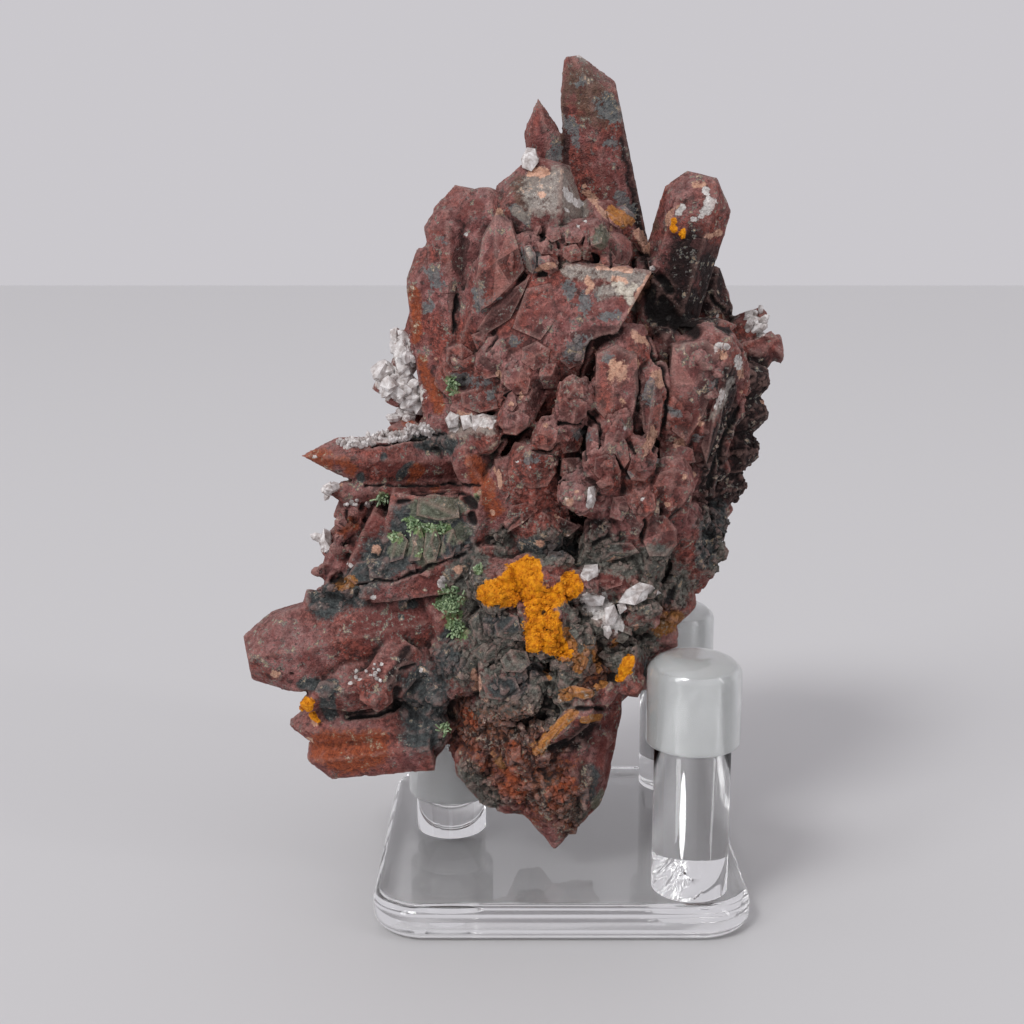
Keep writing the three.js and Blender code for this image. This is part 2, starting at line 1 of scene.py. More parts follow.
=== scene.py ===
# A cluster of iron-stained quartz crystals that rests on a clear stand with three capped pegs.
# Metres. +X is to the right, +Y to the back and +Z up; the origin is under the middle of the plate.
import math
import random

import bmesh
import bpy
import numpy as np
from mathutils import Matrix, Vector, noise
from mathutils.bvhtree import BVHTree


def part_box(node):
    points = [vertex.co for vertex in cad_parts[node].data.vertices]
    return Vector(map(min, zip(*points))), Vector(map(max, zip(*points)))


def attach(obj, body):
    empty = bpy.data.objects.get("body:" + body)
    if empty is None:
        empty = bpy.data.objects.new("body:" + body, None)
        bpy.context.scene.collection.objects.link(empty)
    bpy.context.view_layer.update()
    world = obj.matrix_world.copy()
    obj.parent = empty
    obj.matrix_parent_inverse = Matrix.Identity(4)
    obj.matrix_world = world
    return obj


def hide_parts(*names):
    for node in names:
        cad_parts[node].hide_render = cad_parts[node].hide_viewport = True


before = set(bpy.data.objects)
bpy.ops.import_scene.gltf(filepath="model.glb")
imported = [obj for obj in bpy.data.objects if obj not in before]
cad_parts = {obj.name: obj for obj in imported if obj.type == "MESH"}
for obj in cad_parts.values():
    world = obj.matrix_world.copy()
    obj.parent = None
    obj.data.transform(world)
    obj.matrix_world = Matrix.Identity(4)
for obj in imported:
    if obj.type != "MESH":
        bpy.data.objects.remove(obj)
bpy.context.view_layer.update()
MM = 0.001

# ---------------------------------------------------------------- the clear plate and its pegs
# Polished cast acrylic: a square plate with round corners and a rolled edge, and three turned pegs
# that are solvent-welded to it. The weld leaves no seam, so plate and pegs are one clear piece.
PLATE_HALF = 31.75 * MM
PLATE_THICK = 6 * MM
PLATE_CORNER = 9 * MM
PLATE_ROLL = 2.4 * MM
PEG_RADIUS = 6.35 * MM
PEG_BEVEL = 0.25 * MM
PEG_SUNK = 2 * MM
CAP_ROOF = 2.4 * MM
# Each peg's place on the plate, and the height of its cap's top.
PEGS = {
    "left": (-19.5 * MM, 1.5 * MM, 28 * MM),
    "front_right": (21.5 * MM, -23 * MM, 46.5 * MM),
    "back_right": (23.5 * MM, 22.5 * MM, 43 * MM),
}


def new_piece(name, verts, faces, smooth=True):
    mesh = bpy.data.meshes.new(name)
    mesh.from_pydata(verts, [], faces)
    mesh.polygons.foreach_set("use_smooth", [smooth] * len(mesh.polygons))
    piece = bpy.data.objects.new(name, mesh)
    bpy.context.scene.collection.objects.link(piece)
    return piece


def skin_over(name, rings):
    """A closed skin over a stack of rings. Its sides are smooth and its two ends are flat."""
    count = len(rings[0])
    verts = [point for ring in rings for point in ring]
    faces = []
    for level in range(len(rings) - 1):
        for i in range(count):
            a, b = level * count + i, level * count + (i + 1) % count
            faces.append((a, b, b + count, a + count))
    faces.append(tuple(reversed(range(count))))
    faces.append(tuple(range(len(verts) - count, len(verts))))
    piece = new_piece(name, verts, faces)
    for end in piece.data.polygons[-2:]:
        end.use_smooth = False
    return piece


def plate_ring(inset, height):
    half, corner = PLATE_HALF - inset, PLATE_CORNER - inset
    ring = []
    for quarter, (sx, sy) in enumerate([(1, 1), (-1, 1), (-1, -1), (1, -1)]):
        for step in range(17):
            angle = math.radians(90 * quarter + 90 * step / 16)
            ring.append((sx * (half - corner) + corner * math.cos(angle),
                         sy * (half - corner) + corner * math.sin(angle), height))
    return ring


def round_ring(x, y, radius, height, sides=96):
    turns = [2 * math.pi * i / sides for i in range(sides)]
    return [(x + radius * math.cos(turn), y + radius * math.sin(turn), height) for turn in turns]


rolled = []
for step in range(13):
    angle = math.radians(-90 + 90 * step / 12)
    rolled.append(plate_ring(PLATE_ROLL * (1 - math.cos(angle)), PLATE_ROLL * (1 + math.sin(angle))))
for step in range(13):
    angle = math.radians(90 * step / 12)
    rolled.append(plate_ring(PLATE_ROLL * (1 - math.cos(angle)),
                             PLATE_THICK - PLATE_ROLL * (1 - math.sin(angle))))
stand = skin_over("clear_stand", rolled)

for name, (x, y, top) in PEGS.items():
    end = top - CAP_ROOF
    peg = skin_over("peg_blank_" + name, [
        round_ring(x, y, PEG_RADIUS, PLATE_THICK - PEG_SUNK),
        round_ring(x, y, PEG_RADIUS, end - PEG_BEVEL),
        round_ring(x, y, PEG_RADIUS - PEG_BEVEL, end),
    ])
    weld = stand.modifiers.new("weld_" + name, "BOOLEAN")
    weld.operation = "UNION"
    weld.object = peg
    weld.solver = "EXACT"
bpy.context.view_layer.update()
welded = bpy.data.meshes.new_from_object(stand.evaluated_get(bpy.context.evaluated_depsgraph_get()))
stand.modifiers.clear()
stand.data = welded
for name in PEGS:
    bpy.data.objects.remove(bpy.data.objects["peg_blank_" + name])


def plain_material(name):
    material = bpy.data.materials.new(name)
    material.use_nodes = True
    return material, material.node_tree.nodes, material.node_tree.links


acrylic, nodes, links = plain_material("clear_cast_acrylic")
shader = nodes["Principled BSDF"]
shader.inputs["Base Color"].default_value = (0.993, 0.996, 0.998, 1)
shader.inputs["Roughness"].default_value = 0.015
shader.inputs["IOR"].default_value = 1.49
shader.inputs["Transmission Weight"].default_value = 1
ripple = nodes.new("ShaderNodeTexNoise")
ripple.inputs["Scale"].default_value = 45
ripple.inputs["Detail"].default_value = 1
place = nodes.new("ShaderNodeTexCoord")
links.new(place.outputs["Object"], ripple.inputs["Vector"])
wave = nodes.new("ShaderNodeBump")
wave.inputs["Strength"].default_value = 0.05
wave.inputs["Distance"].default_value = 0.4 * MM
links.new(ripple.outputs["Fac"], wave.inputs["Height"])
links.new(wave.outputs["Normal"], shader.inputs["Normal"])
stand.data.materials.clear()
stand.data.materials.append(acrylic)
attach(stand, "root")
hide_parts("stand_base", "peg_left", "peg_front_right", "peg_back_right")

# ---------------------------------------------------------------- the soft caps
# Moulded clear vinyl caps pushed over the pegs. They have a domed top, a straight skirt with a
# rounded rim, and a milky look, because soft vinyl scatters a little light inside.
CAP_RADIUS = 7.75 * MM
CAP_BORE = 6.5 * MM
CAP_HEIGHT = 15 * MM
CAP_CROWN = 3.2 * MM
CAP_SHOULDER = 5 * MM
CAP_RIM = 0.5 * MM
ROOF_GAP = 0.05 * MM

vinyl, nodes, links = plain_material("milky_soft_vinyl")
shader = nodes["Principled BSDF"]
shader.inputs["Base Color"].default_value = (0.96, 0.985, 0.975, 1)
shader.inputs["Roughness"].default_value = 0.3
shader.inputs["IOR"].default_value = 1.46
shader.inputs["Transmission Weight"].default_value = 0.74
shader.inputs["Coat Weight"].default_value = 0.6
shader.inputs["Coat Roughness"].default_value = 0.08
place = nodes.new("ShaderNodeTexCoord")
cloud = nodes.new("ShaderNodeTexNoise")
cloud.inputs["Scale"].default_value = 170
cloud.inputs["Detail"].default_value = 2
links.new(place.outputs["Object"], cloud.inputs["Vector"])
frost = nodes.new("ShaderNodeMapRange")
frost.inputs["To Min"].default_value = 0.08
frost.inputs["To Max"].default_value = 0.3
links.new(cloud.outputs["Fac"], frost.inputs["Value"])
links.new(frost.outputs["Result"], shader.inputs["Roughness"])
dents = nodes.new("ShaderNodeBump")
dents.inputs["Strength"].default_value = 0.06
dents.inputs["Distance"].default_value = 0.3 * MM
links.new(cloud.outputs["Fac"], dents.inputs["Height"])
links.new(dents.outputs["Normal"], shader.inputs["Normal"])

for name, (x, y, top) in PEGS.items():
    rim = top - CAP_HEIGHT
    roof = top - CAP_ROOF + ROOF_GAP
    profile = [(CAP_BORE - 0.6 * MM, roof), (CAP_BORE - 0.15 * MM, roof - 0.12 * MM),
               (CAP_BORE, roof - 0.5 * MM), (CAP_BORE, rim + 0.2 * MM), (CAP_BORE + 0.15 * MM, rim)]
    for step in range(7):
        angle = math.radians(-90 + 90 * step / 6)
        profile.append((CAP_RADIUS - CAP_RIM * (1 - math.cos(angle)), rim + CAP_RIM * (1 + math.sin(angle))))
    for step in range(15):
        angle = math.radians(90 * step / 14)
        profile.append((CAP_RADIUS - CAP_SHOULDER * (1 - math.cos(angle)),
                        top - CAP_CROWN * (1 - math.sin(angle))))
    cap = skin_over("soft_cap_" + name, [round_ring(x, y, radius, z) for radius, z in profile])
    cap.data.materials.append(vinyl)
    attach(cap, "root")
    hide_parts("cap_" + name)

# ---------------------------------------------------------------- the rock: crystals grown over crystals
# Quartz crystals that grew together. The big ones come from the frame's solid. Smaller blunt crystals
# and broken blocks are set into it where they crowd, each sunk into what is below.
# Small pieces point away from the heart. Each (x, z) place is met on a line from the view point.
GROWTH_HEART = Vector((0, 3 * MM, 50 * MM))
VIEW_POINT = Vector((-8.31 * MM, -238.4 * MM, 113.3 * MM))

chance = random.Random(41)
# Without a seed this noise would start from the clock, and the rock would differ from run to run.
noise.seed_set(41)
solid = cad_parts["quartz_cluster"].data
solid_verts = [v.co.copy() for v in solid.vertices]
solid_faces = [tuple(p.vertices) for p in solid.polygons]
big_crystals = BVHTree.FromPolygons(solid_verts, solid_faces)


def seen_at(x, z):
    """Where the rock is met, and which way it faces there, on the line from the front through (x, z)."""
    aim = Vector((x * MM, 0, z * MM)) - VIEW_POINT
    place, normal, _, _ = big_crystals.ray_cast(VIEW_POINT, aim)
    return place, normal


def closed_round(verts, faces, place, turn, rings, tip=None):
    """Adds stacked rings of (x, y, z) corners, closed at the bottom and at the top or at a tip."""
    start, count = len(verts), len(rings[0])
    for ring in rings:
        verts.extend(place + turn @ Vector(corner) for corner in ring)
    faces.append(tuple(start + count - 1 - i for i in range(count)))
    for level in range(len(rings) - 1):
        for i in range(count):
            a, b = start + level * count + i, start + level * count + (i + 1) % count
            faces.append((a, b, b + count, a + count))
    last = start + (len(rings) - 1) * count
    if tip is None:
        faces.append(tuple(last + i for i in range(count)))
    else:
        verts.append(place + turn @ Vector(tip))
        faces.extend((last + i, last + (i + 1) % count, last + count) for i in range(count))


def small_crystal(verts, faces, place, axis, size, slender=1.3, sunk=0.5):
    """A six-sided crystal. Its root is sunk into the rock and its point is a little uneven."""
    length = size * slender
    roll = chance.uniform(0, 1)
    reach = [0.5 * size * chance.uniform(0.82, 1.12) for _ in range(6)]
    spin = [math.radians(60 * i) + roll for i in range(6)]
    rings = [[(r * math.cos(a) * wide, r * math.sin(a) * wide, height) for r, a in zip(reach, spin)]
             for height, wide in ((-sunk * size, 1), (length - 0.5 * size, 0.9))]
    tip = (chance.uniform(-0.15, 0.15) * size, 0, length)
    closed_round(verts, faces, place, axis.to_track_quat("Z", "X").to_matrix(), rings, tip)


def ledge(verts, faces, place, axis, size):
    """A thin broken plate, about three times as long as it is thick."""
    outline = ((0.8, 0.1), (0.35, 0.4), (-0.4, 0.42), (-0.8, 0.05), (-0.3, -0.4), (0.4, -0.38))

    def ring(height, wide):
        return [(x * size * wide * chance.uniform(0.75, 1.1), y * size * wide * chance.uniform(0.7, 1.1),
                 height * size) for x, y in outline]
    turn = axis.to_track_quat("Z", "X").to_matrix() @ Matrix.Rotation(chance.gauss(0.6, 0.5), 3, "Z")
    turn = turn @ Matrix.Rotation(chance.gauss(0, 0.4), 3, "X")
    closed_round(verts, faces, place, turn, [ring(-0.3, 0.9), ring(0.1, 1), ring(0.22, 0.8)])


def boulder(verts, faces, place, axis, size, tall=1.0, deep=0.8, turn=0.0, corners=13):
    """A broken lump with flat sides: the hull of a few points near the faces of a rounded box."""
    upright = axis.to_track_quat("Y", "Z").to_matrix() @ Matrix.Rotation(turn, 3, "Y")
    hull = bmesh.new()
    for _ in range(corners):
        way = Vector([chance.uniform(-1, 1) for _ in range(3)]).normalized()
        way *= chance.uniform(0.9, 1.04) / sum(abs(part) ** 4 for part in way) ** 0.25
        hull.verts.new(place + upright @ Vector((0.5 * size * way.x, 0.5 * size * deep * way.y,
                                                 0.5 * size * tall * way.z)))
    bmesh.ops.convex_hull(hull, input=hull.verts[:])
    start = len(verts)
    kept = [v for v in hull.verts if v.link_faces]
    number = {v: start + i for i, v in enumerate(kept)}
    verts.extend(v.co.copy() for v in kept)
    faces.extend(tuple(number[v] for v in face.verts) for face in hull.faces)
    hull.free()


SHAPES = {"crystal": small_crystal, "boulder": boulder, "ledge": ledge}


def shaken(spread):
    """A small push in a chance direction."""
    return Vector([chance.gauss(0, spread) for _ in range(3)])


def outward(place, normal):
    """A way to grow: between the way the rock faces and away from its heart, and a little shaken."""
    away = (place - GROWTH_HEART).normalized()
    return (0.65 * normal + 0.55 * away + shaken(0.2)).normalized()


# Blocks that can be told apart from the front. Each is how far it stands out, the (x, z) place of its
# highest point, and the corners of its outline, in millimetres.
CHUNKS = [
    (0.9, (-2.3, 79), (-3, 81.5), (-0.2, 80), (-0.5, 78), (-2, 76.3), (-4, 76.8), (-3.8, 79.5)),
    (1.1, (2.8, 83.8), (-0.2, 85.4), (2, 86), (4.8, 85), (4.7, 82.4), (2.4, 81.1), (-0.2, 82)),
    (0.8, (2.6, 87.2), (0.8, 88.4), (2.6, 89), (4.1, 87.4), (4.2, 85.6), (1.2, 85.6)),
    (0.5, (5.9, 78.2), (5, 80.8), (6.7, 80.4), (7.1, 77.6), (6.4, 75.3), (4.7, 75.6), (4.5, 78.6)),
    (0.6, (9.4, 78), (8, 79.6), (10.4, 80.2), (12, 77.4), (12.4, 74.6), (11.4, 73), (9.8, 75.8),
     (7.4, 75.8)),
    (0.9, (7.6, 74), (6.2, 75.2), (8.4, 75.9), (9.7, 74.8), (9.6, 72.4), (7.2, 71), (6, 72.4)),
    (0.8, (14.2, 73.9), (12.5, 75.2), (14.6, 75.7), (16.5, 74.8), (16.9, 73), (15, 70.9), (12.6, 71.1),
     (11.8, 72.6)),
    (1.1, (20.4, 70.2), (17.4, 72.6), (20, 73.6), (22.6, 72.6), (23.5, 69.6), (22, 67), (19.6, 64.6),
     (17.6, 67.4), (16.4, 70)),
    (0.7, (14.6, 67.8), (13, 69.5), (15, 70.4), (16.9, 68.6), (17.1, 66), (15.4, 64.5), (13, 65.1),
     (12.5, 67)),
    (0.4, (10.6, 66.4), (9.4, 68.2), (11.6, 68.5), (12.4, 66), (11.2, 63.7), (8.8, 64.5)),
    (0.6, (-4.4, 73.6), (-8.6, 75), (-5, 76.5), (-1, 75.7), (-0.4, 72.6), (-2, 69.9), (-5, 69.5),
     (-7.4, 70.6), (-8.4, 72.8)),
    (0.4, (-9.2, 72.2), (-11.4, 75), (-8.8, 75.8), (-7.8, 73), (-7.6, 70.4), (-9.4, 67.4), (-10.8, 69.6)),
    (1.4, (-7.4, 81.4), (-9.7, 82.6), (-7, 83.7), (-5.1, 82.4), (-5.6, 80.4), (-7.6, 79.1), (-9.9, 79.5)),
    (0.6, (-8.4, 85), (-9.1, 86.3), (-7.8, 86.5), (-7.4, 84.4), (-8.2, 83.3), (-9.7, 84)),
    (0.7, (-1.4, 89.6), (-3.4, 91.6), (-0.6, 91.8), (0.3, 89.6), (-0.6, 87.2), (-2.8, 87.2), (-3.8, 89.4)),
    (0.4, (2, 78.6), (0, 80.6), (3, 80.9), (4.2, 78.6), (3.4, 76.3), (0.6, 75.8), (-0.3, 78)),
    (0.3, (2, 73.6), (0.3, 75.2), (3.6, 75.3), (4.2, 72), (2.6, 71.2), (0, 71.9)),
    (0.4, (-2, 64), (-5, 65.6), (0, 64.8), (4, 62.8), (2, 61), (-3, 60.8), (-6, 62.6)),
    (0.5, (-6.4, 65.4), (-8.4, 66.7), (-5, 67.5), (-3.6, 66), (-6.4, 63.4), (-9, 61.8), (-10, 63.6)),
    (0.8, (18, 61.8), (16, 64.7), (18.6, 65.1), (20.9, 62.4), (20.9, 59.6), (19, 57.3), (16, 57.3),
     (14.7, 60.4)),
    (0.4, (22.8, 64), (21.4, 66.7), (23.8, 67.2), (25, 64), (24.4, 60.4), (22.4, 59.9), (20.9, 63)),
    (0.4, (20.6, 75.8), (17.4, 76.8), (20, 77.8), (23.4, 76.8), (24, 74.4), (20.6, 73.5), (17.6, 74.3)),
    (0.5, (-4.2, 93), (-6.6, 94.4), (-4, 95.6), (-1.6, 94), (-2, 91.4), (-4.6, 90.4), (-6.8, 92)),
    (0.6, (2.2, 93.4), (0, 94.8), (2.6, 95.4), (4.4, 94), (4, 91.6), (1.6, 90.6), (-0.2, 92.2)),
    (0.4, (-7.4, 88.4), (-9.8, 90.4), (-6.6, 91.4), (-5, 89), (-5.6, 86.2), (-8, 86.2), (-9.8, 88)),
    (0.4, (-12, 91.4), (-14.6, 93.4), (-11.8, 94.6), (-9.8, 92.4), (-10.6, 89.4), (-13, 88.8), (-15, 91)),
    (0.5, (-13.4, 95.6), (-15.4, 96.6), (-13, 97.6), (-11.4, 96.4), (-12, 94.2), (-14.4, 94)),
    (0.4, (-17, 92.6), (-19.6, 94.4), (-17, 95.2), (-15, 93.6), (-15.6, 90.6), (-18.6, 90.2), (-19.8, 92)),
    (0.3, (-14, 85.2), (-17.4, 86.6), (-14, 87.6), (-10.8, 86.4), (-10.6, 83.8), (-14, 83), (-17, 84)),
    (1.6, (-11, 109), (-13.8, 100.4), (-14.6, 106), (-13.4, 113), (-11, 117), (-8.4, 115.6), (-7, 111.4),
     (-5.9, 107.6), (-8.4, 104.8), (-11.8, 101.6)),
    (0.5, (-9.6, 101.4), (-5.1, 106.6), (-6.4, 103.4), (-8.6, 99.2), (-12.8, 96.6), (-14.6, 97.2),
     (-11.9, 101.3), (-7.6, 104.9)),
    (0.9, (-29, 59.4), (-31.6, 57.6), (-30.4, 60.6), (-28, 62), (-26.6, 60.4), (-27.6, 57), (-30, 56.2)),
    (1, (-25.6, 60), (-27, 58), (-26.4, 62.4), (-24.4, 63.2), (-23.6, 60), (-24.6, 56.6), (-26.4, 56.4)),
    (1, (-22.6, 60.2), (-24.2, 57.4), (-23.6, 62), (-21.8, 63), (-20.8, 60), (-21.8, 56.4), (-23.4, 56)),
    (0.9, (-19.6, 60), (-21, 57.8), (-20.4, 61.8), (-18.6, 62.6), (-17.8, 60), (-18.8, 57.2),
     (-20.2, 56.8)),
    (0.8, (-35, 54.6), (-38, 53.6), (-36, 56.4), (-33, 57), (-31.4, 55), (-33.4, 52.6), (-36.4, 52.2)),
    (0.6, (-21.4, 66.4), (-25.4, 64.8), (-25, 68.2), (-17.6, 68.8), (-17.4, 64.4), (-21, 63.8)),
    (0.5, (-3.6, 100.4), (-6, 104.6), (-1.6, 105.6), (0.4, 100.6), (-3.4, 95.4), (-8.4, 97.6)),
    (1, (3.2, 32), (-0.6, 30.2), (0.4, 32.2), (2.7, 33.6), (6.4, 32.6), (6.6, 31.4), (4.3, 30.5),
     (1.9, 30)),
    (1.3, (1, 26.2), (-4.8, 20.3), (-3.6, 22.6), (-1.2, 25.2), (0.4, 27.8), (2.8, 29.2), (4.2, 28.1),
     (2, 25.1), (-1.2, 22.3), (-3.2, 20.2)),
    (0.8, (6.4, 27.4), (3.8, 25.8), (5.8, 28.1), (8.4, 28.5), (7.8, 26.4)),
    (0.8, (12.2, 37), (10.8, 36.6), (12, 39), (13.8, 39.2), (14, 37), (12.2, 34.6), (10.8, 34.6)),
    (0.9, (16.2, 36.4), (14.2, 37), (16, 38.8), (18.2, 37.8), (18.4, 35.6), (16.4, 33.8), (14.4, 34.6)),
    (0.8, (14.4, 46.8), (12, 46.2), (13.4, 48.2), (16.6, 48.8), (17.2, 46.8), (15.4, 44.6), (12.6, 44.4)),
    (0.9, (8.6, 53), (6.2, 52.8), (7, 54.6), (9.8, 55), (11.8, 53.8), (11.4, 52.2), (8.4, 51.2)),
    (0.7, (-7.8, 38), (-10.6, 38.4), (-8.6, 40.4), (-5.6, 40), (-4.8, 37.6), (-6.6, 35.8), (-9.6, 36)),
    (0.8, (-10.4, 33), (-13.8, 33.6), (-11.8, 35.6), (-7.6, 35), (-6.6, 32.4), (-9, 30.4), (-13, 31)),
    (0.7, (-9, 44.6), (-11.6, 45), (-9.6, 47), (-7.2, 46.6), (-6.6, 43.8), (-8.4, 42), (-11, 42.6)),
    (0.6, (-14.2, 44.6), (-16, 45.6), (-14, 48), (-12.6, 46.6), (-12.8, 42.8), (-15, 41.8)),
    (0.5, (-12.8, 39.6), (-15.4, 40), (-13.4, 41.6), (-11, 41.2), (-11, 38.4), (-13.6, 37.4)),
    (0.5, (4.4, 36.8), (2.6, 37), (4, 38.6), (6.2, 38), (6.4, 35.8), (4.4, 34.6), (2.4, 35.2)),
    (0.5, (9.4, 58), (4.6, 57.4), (8.4, 60), (13, 60), (14.6, 58.2), (11, 57), (7, 56.2)),
    (1.1, (-5.3, 109.4), (-6.5, 111.6), (-5.2, 111.9), (-4.2, 110.3), (-4.2, 108.6), (-4.7, 106.8),
     (-5.6, 107.3), (-6.4, 108.6)),
    (1.1, (-2, 108.5), (-3.9, 109.8), (-2, 110.1), (-0.6, 109), (-0.3, 107.6), (-1.5, 106.8), (-3, 107.4),
     (-4, 108.4)),
    (0.9, (-2.8, 111.4), (-4.2, 112), (-2.4, 112.7), (-1.1, 111.6), (-1.3, 110.2), (-3.4, 110.1)),
    (0.9, (-1.2, 113.8), (-2.2, 115), (-0.2, 114.9), (0.1, 112.8), (-1.6, 112.1), (-2.7, 113.2)),
    (0.7, (-3.8, 114.2), (-4.5, 114.8), (-3.4, 115), (-3.1, 113.8), (-4.2, 113.3)),
    (0.6, (-5.7, 112.7), (-6.3, 113.2), (-5.4, 113.5), (-5.1, 112.4), (-6, 111.9)),
    (0.7, (2, 110.6), (0.3, 111.4), (2.6, 112.1), (3.6, 110.4), (3.4, 109.2), (1.6, 108.7), (0.2, 109.8)),
    (0.7, (2.4, 113.4), (0.4, 114.7), (3.2, 114.7), (4, 113.2), (3.2, 112.1), (0.7, 112)),
    (1.1, (6.8, 112.2), (5.3, 114.8), (7.6, 114.9), (8, 113), (7.8, 111.6), (6.4, 111), (5.1, 111.6),
     (4.8, 113)),
    (0.5, (4.6, 111.4), (4.2, 113.6), (5.2, 113.8), (5.4, 111.2), (4.8, 109.1), (3.8, 109.1), (3.7, 111.4)),
    (0.9, (10, 111.8), (8, 114), (10, 113.9), (12, 112.2), (12.2, 110), (11.4, 108.3), (9, 108.5),
     (8.2, 110.6)),
    (0.8, (7.9, 109.5), (6.6, 110.2), (8.6, 110.7), (9.4, 109.4), (8.6, 108.2), (6.8, 108.4)),
    (1.1, (13.4, 112.4), (12, 113.8), (13.2, 114.8), (14.4, 112.4), (15, 110.6), (14.3, 110), (13, 111),
     (11.9, 112.8)),
    (1.3, (14.1, 108.2), (12.8, 109.4), (14, 109.9), (15.3, 108.6), (15.3, 106.9), (14.2, 106.3),
     (13, 107.3)),
    (0.9, (15.8, 108.3), (14.6, 109.7), (16.2, 109.3), (17, 108), (16.2, 106.9), (15.2, 107.5)),
    (0.8, (9.2, 116.2), (7.6, 117.4), (8.8, 117.4), (10.2, 116.4), (10.6, 115.2), (9.8, 114.4),
     (8.3, 115.3)),
    (0.7, (23.4, 88), (19.2, 95), (25, 96), (27.8, 94.4), (27, 88), (25, 82), (22, 77.6), (19.4, 79.6),
     (18.6, 88)),
    (0.5, (27.4, 85), (28.4, 94), (29, 89), (28, 81), (25.6, 73.8), (24.6, 77), (26.4, 84), (27.6, 90)),
    (0.6, (9.4, 88), (6.2, 93.6), (9.6, 95.2), (13.4, 93.4), (13.8, 87), (12.6, 81.6), (9, 80.6),
     (5.8, 84)),
    (0.5, (16, 84), (14.6, 91), (16.8, 90.4), (18, 85), (17.4, 79), (15.2, 78), (14.2, 83)),
    (0.6, (6.8, 116.6), (5.1, 118.7), (6, 119), (8.4, 115.4), (8, 114.4), (7, 114.6), (5.7, 116.8)),
]
# Lumps that can be told apart from the front: (x, z, width, height, turn in degrees, how far the middle
# stands out), in millimetres.
LUMPS = [
    (-16.6, 92, 5, 5.4, 0, 0.2), (-17, 86.6, 4.6, 4, 10, 0.3), (13, 33.8, 5.4, 4.6, 20, 0.3),
    (19, 46.2, 5.6, 4.2, 0, 0.3), (-1, 57, 7, 3.4, 0, 0.2), (-8, 59, 7, 4, 24, 0.3),
    (4.4, 46.4, 4.6, 5, 0, 0.2), (-2, 35, 4, 2.6, 20, 0.4), (-27, 53.4, 6, 3, 8, 0.2),
    (-33.6, 51, 5.4, 3, 0, 0.3), (-42.8, 49, 4, 4, 0, 0.3), (-37.4, 51.6, 4.6, 3.2, 10, 0.3),
    (-24, 33.4, 8, 8.4, 0, 0.2), (-23.6, 26.4, 8, 6, 0, 0.2), (-41.6, 32.6, 5, 4, 0, 0.3),
    (-45, 34, 5, 3, 0, 0.1), (-34, 33, 8, 4.4, 20, 0.3), (-12, 23, 6, 5, 30, 0.2), (-7, 18, 6, 5, 20, 0.2),
    (-14.4, 18, 4, 6, 30, 0.2), (-2.4, 14.6, 5, 5, 10, 0.2), (3, 14.6, 4, 4, 0, 0.3),
    (-6, 23.4, 5, 4, 40, 0.3), (-8.6, 12.8, 4, 4, 0, 0.2),
]
# Crowds of smaller pieces: (x, z, half width, half height, shape, number, usual size).
CROWDS = [
    (3, 84, 10, 12, "boulder", 5, 1.9), (8, 68, 12, 9, "boulder", 7, 1.9),
    (-24, 60, 10, 6, "boulder", 8, 2.2), (-38, 58, 4, 8, "crystal", 9, 2.4),
    (-40, 51, 5, 3, "boulder", 6, 2.0), (-4, 46, 14, 11, "boulder", 22, 2.2),
    (0, 38, 13, 8, "ledge", 12, 2.8), (12, 48, 8, 8, "boulder", 12, 2.2),
    (-24, 29, 5, 8, "boulder", 8, 2.2), (-8, 22, 9, 8, "ledge", 24, 2.6),
    (-4, 17, 8, 8, "boulder", 14, 2.0), (3, 28, 7, 6, "ledge", 12, 2.6), (-36, 34, 8, 3, "boulder", 4, 2.0),
    (30, 72, 6, 24, "ledge", 26, 2.4), (29, 64, 6, 20, "boulder", 18, 2.2),
    (33, 96, 4, 6, "boulder", 5, 2.0), (-28, 78.5, 7, 1.5, "boulder", 6, 1.6),
    (20, 60, 7, 9, "boulder", 5, 2.0),
]


# A block's rings from its root to its brow: how far each is drawn in towards the peak, and how far it
# stands out. The brow's height goes with the block's own.
CHUNK_RINGS = ((0.2, -3.2), (-0.02, -0.8), (0.05, None))
RIM_SPREAD = 1.2 * MM


def at_depth(x, z, y):
    """The point at depth y on the line from the front through (x, z)."""
    aim = Vector((x * MM, 0, z * MM)) - VIEW_POINT
    return VIEW_POINT + aim * ((y - VIEW_POINT.y) / aim.y)


def chunk(verts, faces, out, peak, outline, on_rock=seen_at):
    """A block with flat sides. Its root is sunk below its outline, and its front is a tilted face."""
    places = [on_rock(x, z)[0] for x, z in outline]
    depths = sorted(place.y for place in places if place is not None)
    middle = depths[len(depths) // 2]
    rim = [middle if place is None else max(middle - RIM_SPREAD, min(middle + RIM_SPREAD, place.y))
           for place in places]
    start, count = len(verts), len(outline)
    half = max(math.dist(peak, corner) for corner in outline)
    tilt = (chance.uniform(-0.4, 0.4), chance.uniform(-0.4, 0.2))
    for inward, height in CHUNK_RINGS:
        for (x, z), y in zip(outline, rim):
            across, up = (x - peak[0]) / half, (z - peak[1]) / half
            brow = out * (0.5 + tilt[0] * across + tilt[1] * up)
            lift = brow if height is None else height
            verts.append(at_depth(x - (x - peak[0]) * inward, z - (z - peak[1]) * inward, y - lift * MM))
    verts.append(at_depth(*peak, middle - (1.1 * out + 0.1) * MM))
    faces.append(tuple(start + i for i in range(count)))
    for level in range(2):
        for i in range(count):
            a, b = start + level * count + i, start + level * count + (i + 1) % count
            faces.append((b, a, a + count, b + count))
    last = start + 2 * count
    faces.extend((last + (i + 1) % count, last + i, last + count) for i in range(count))


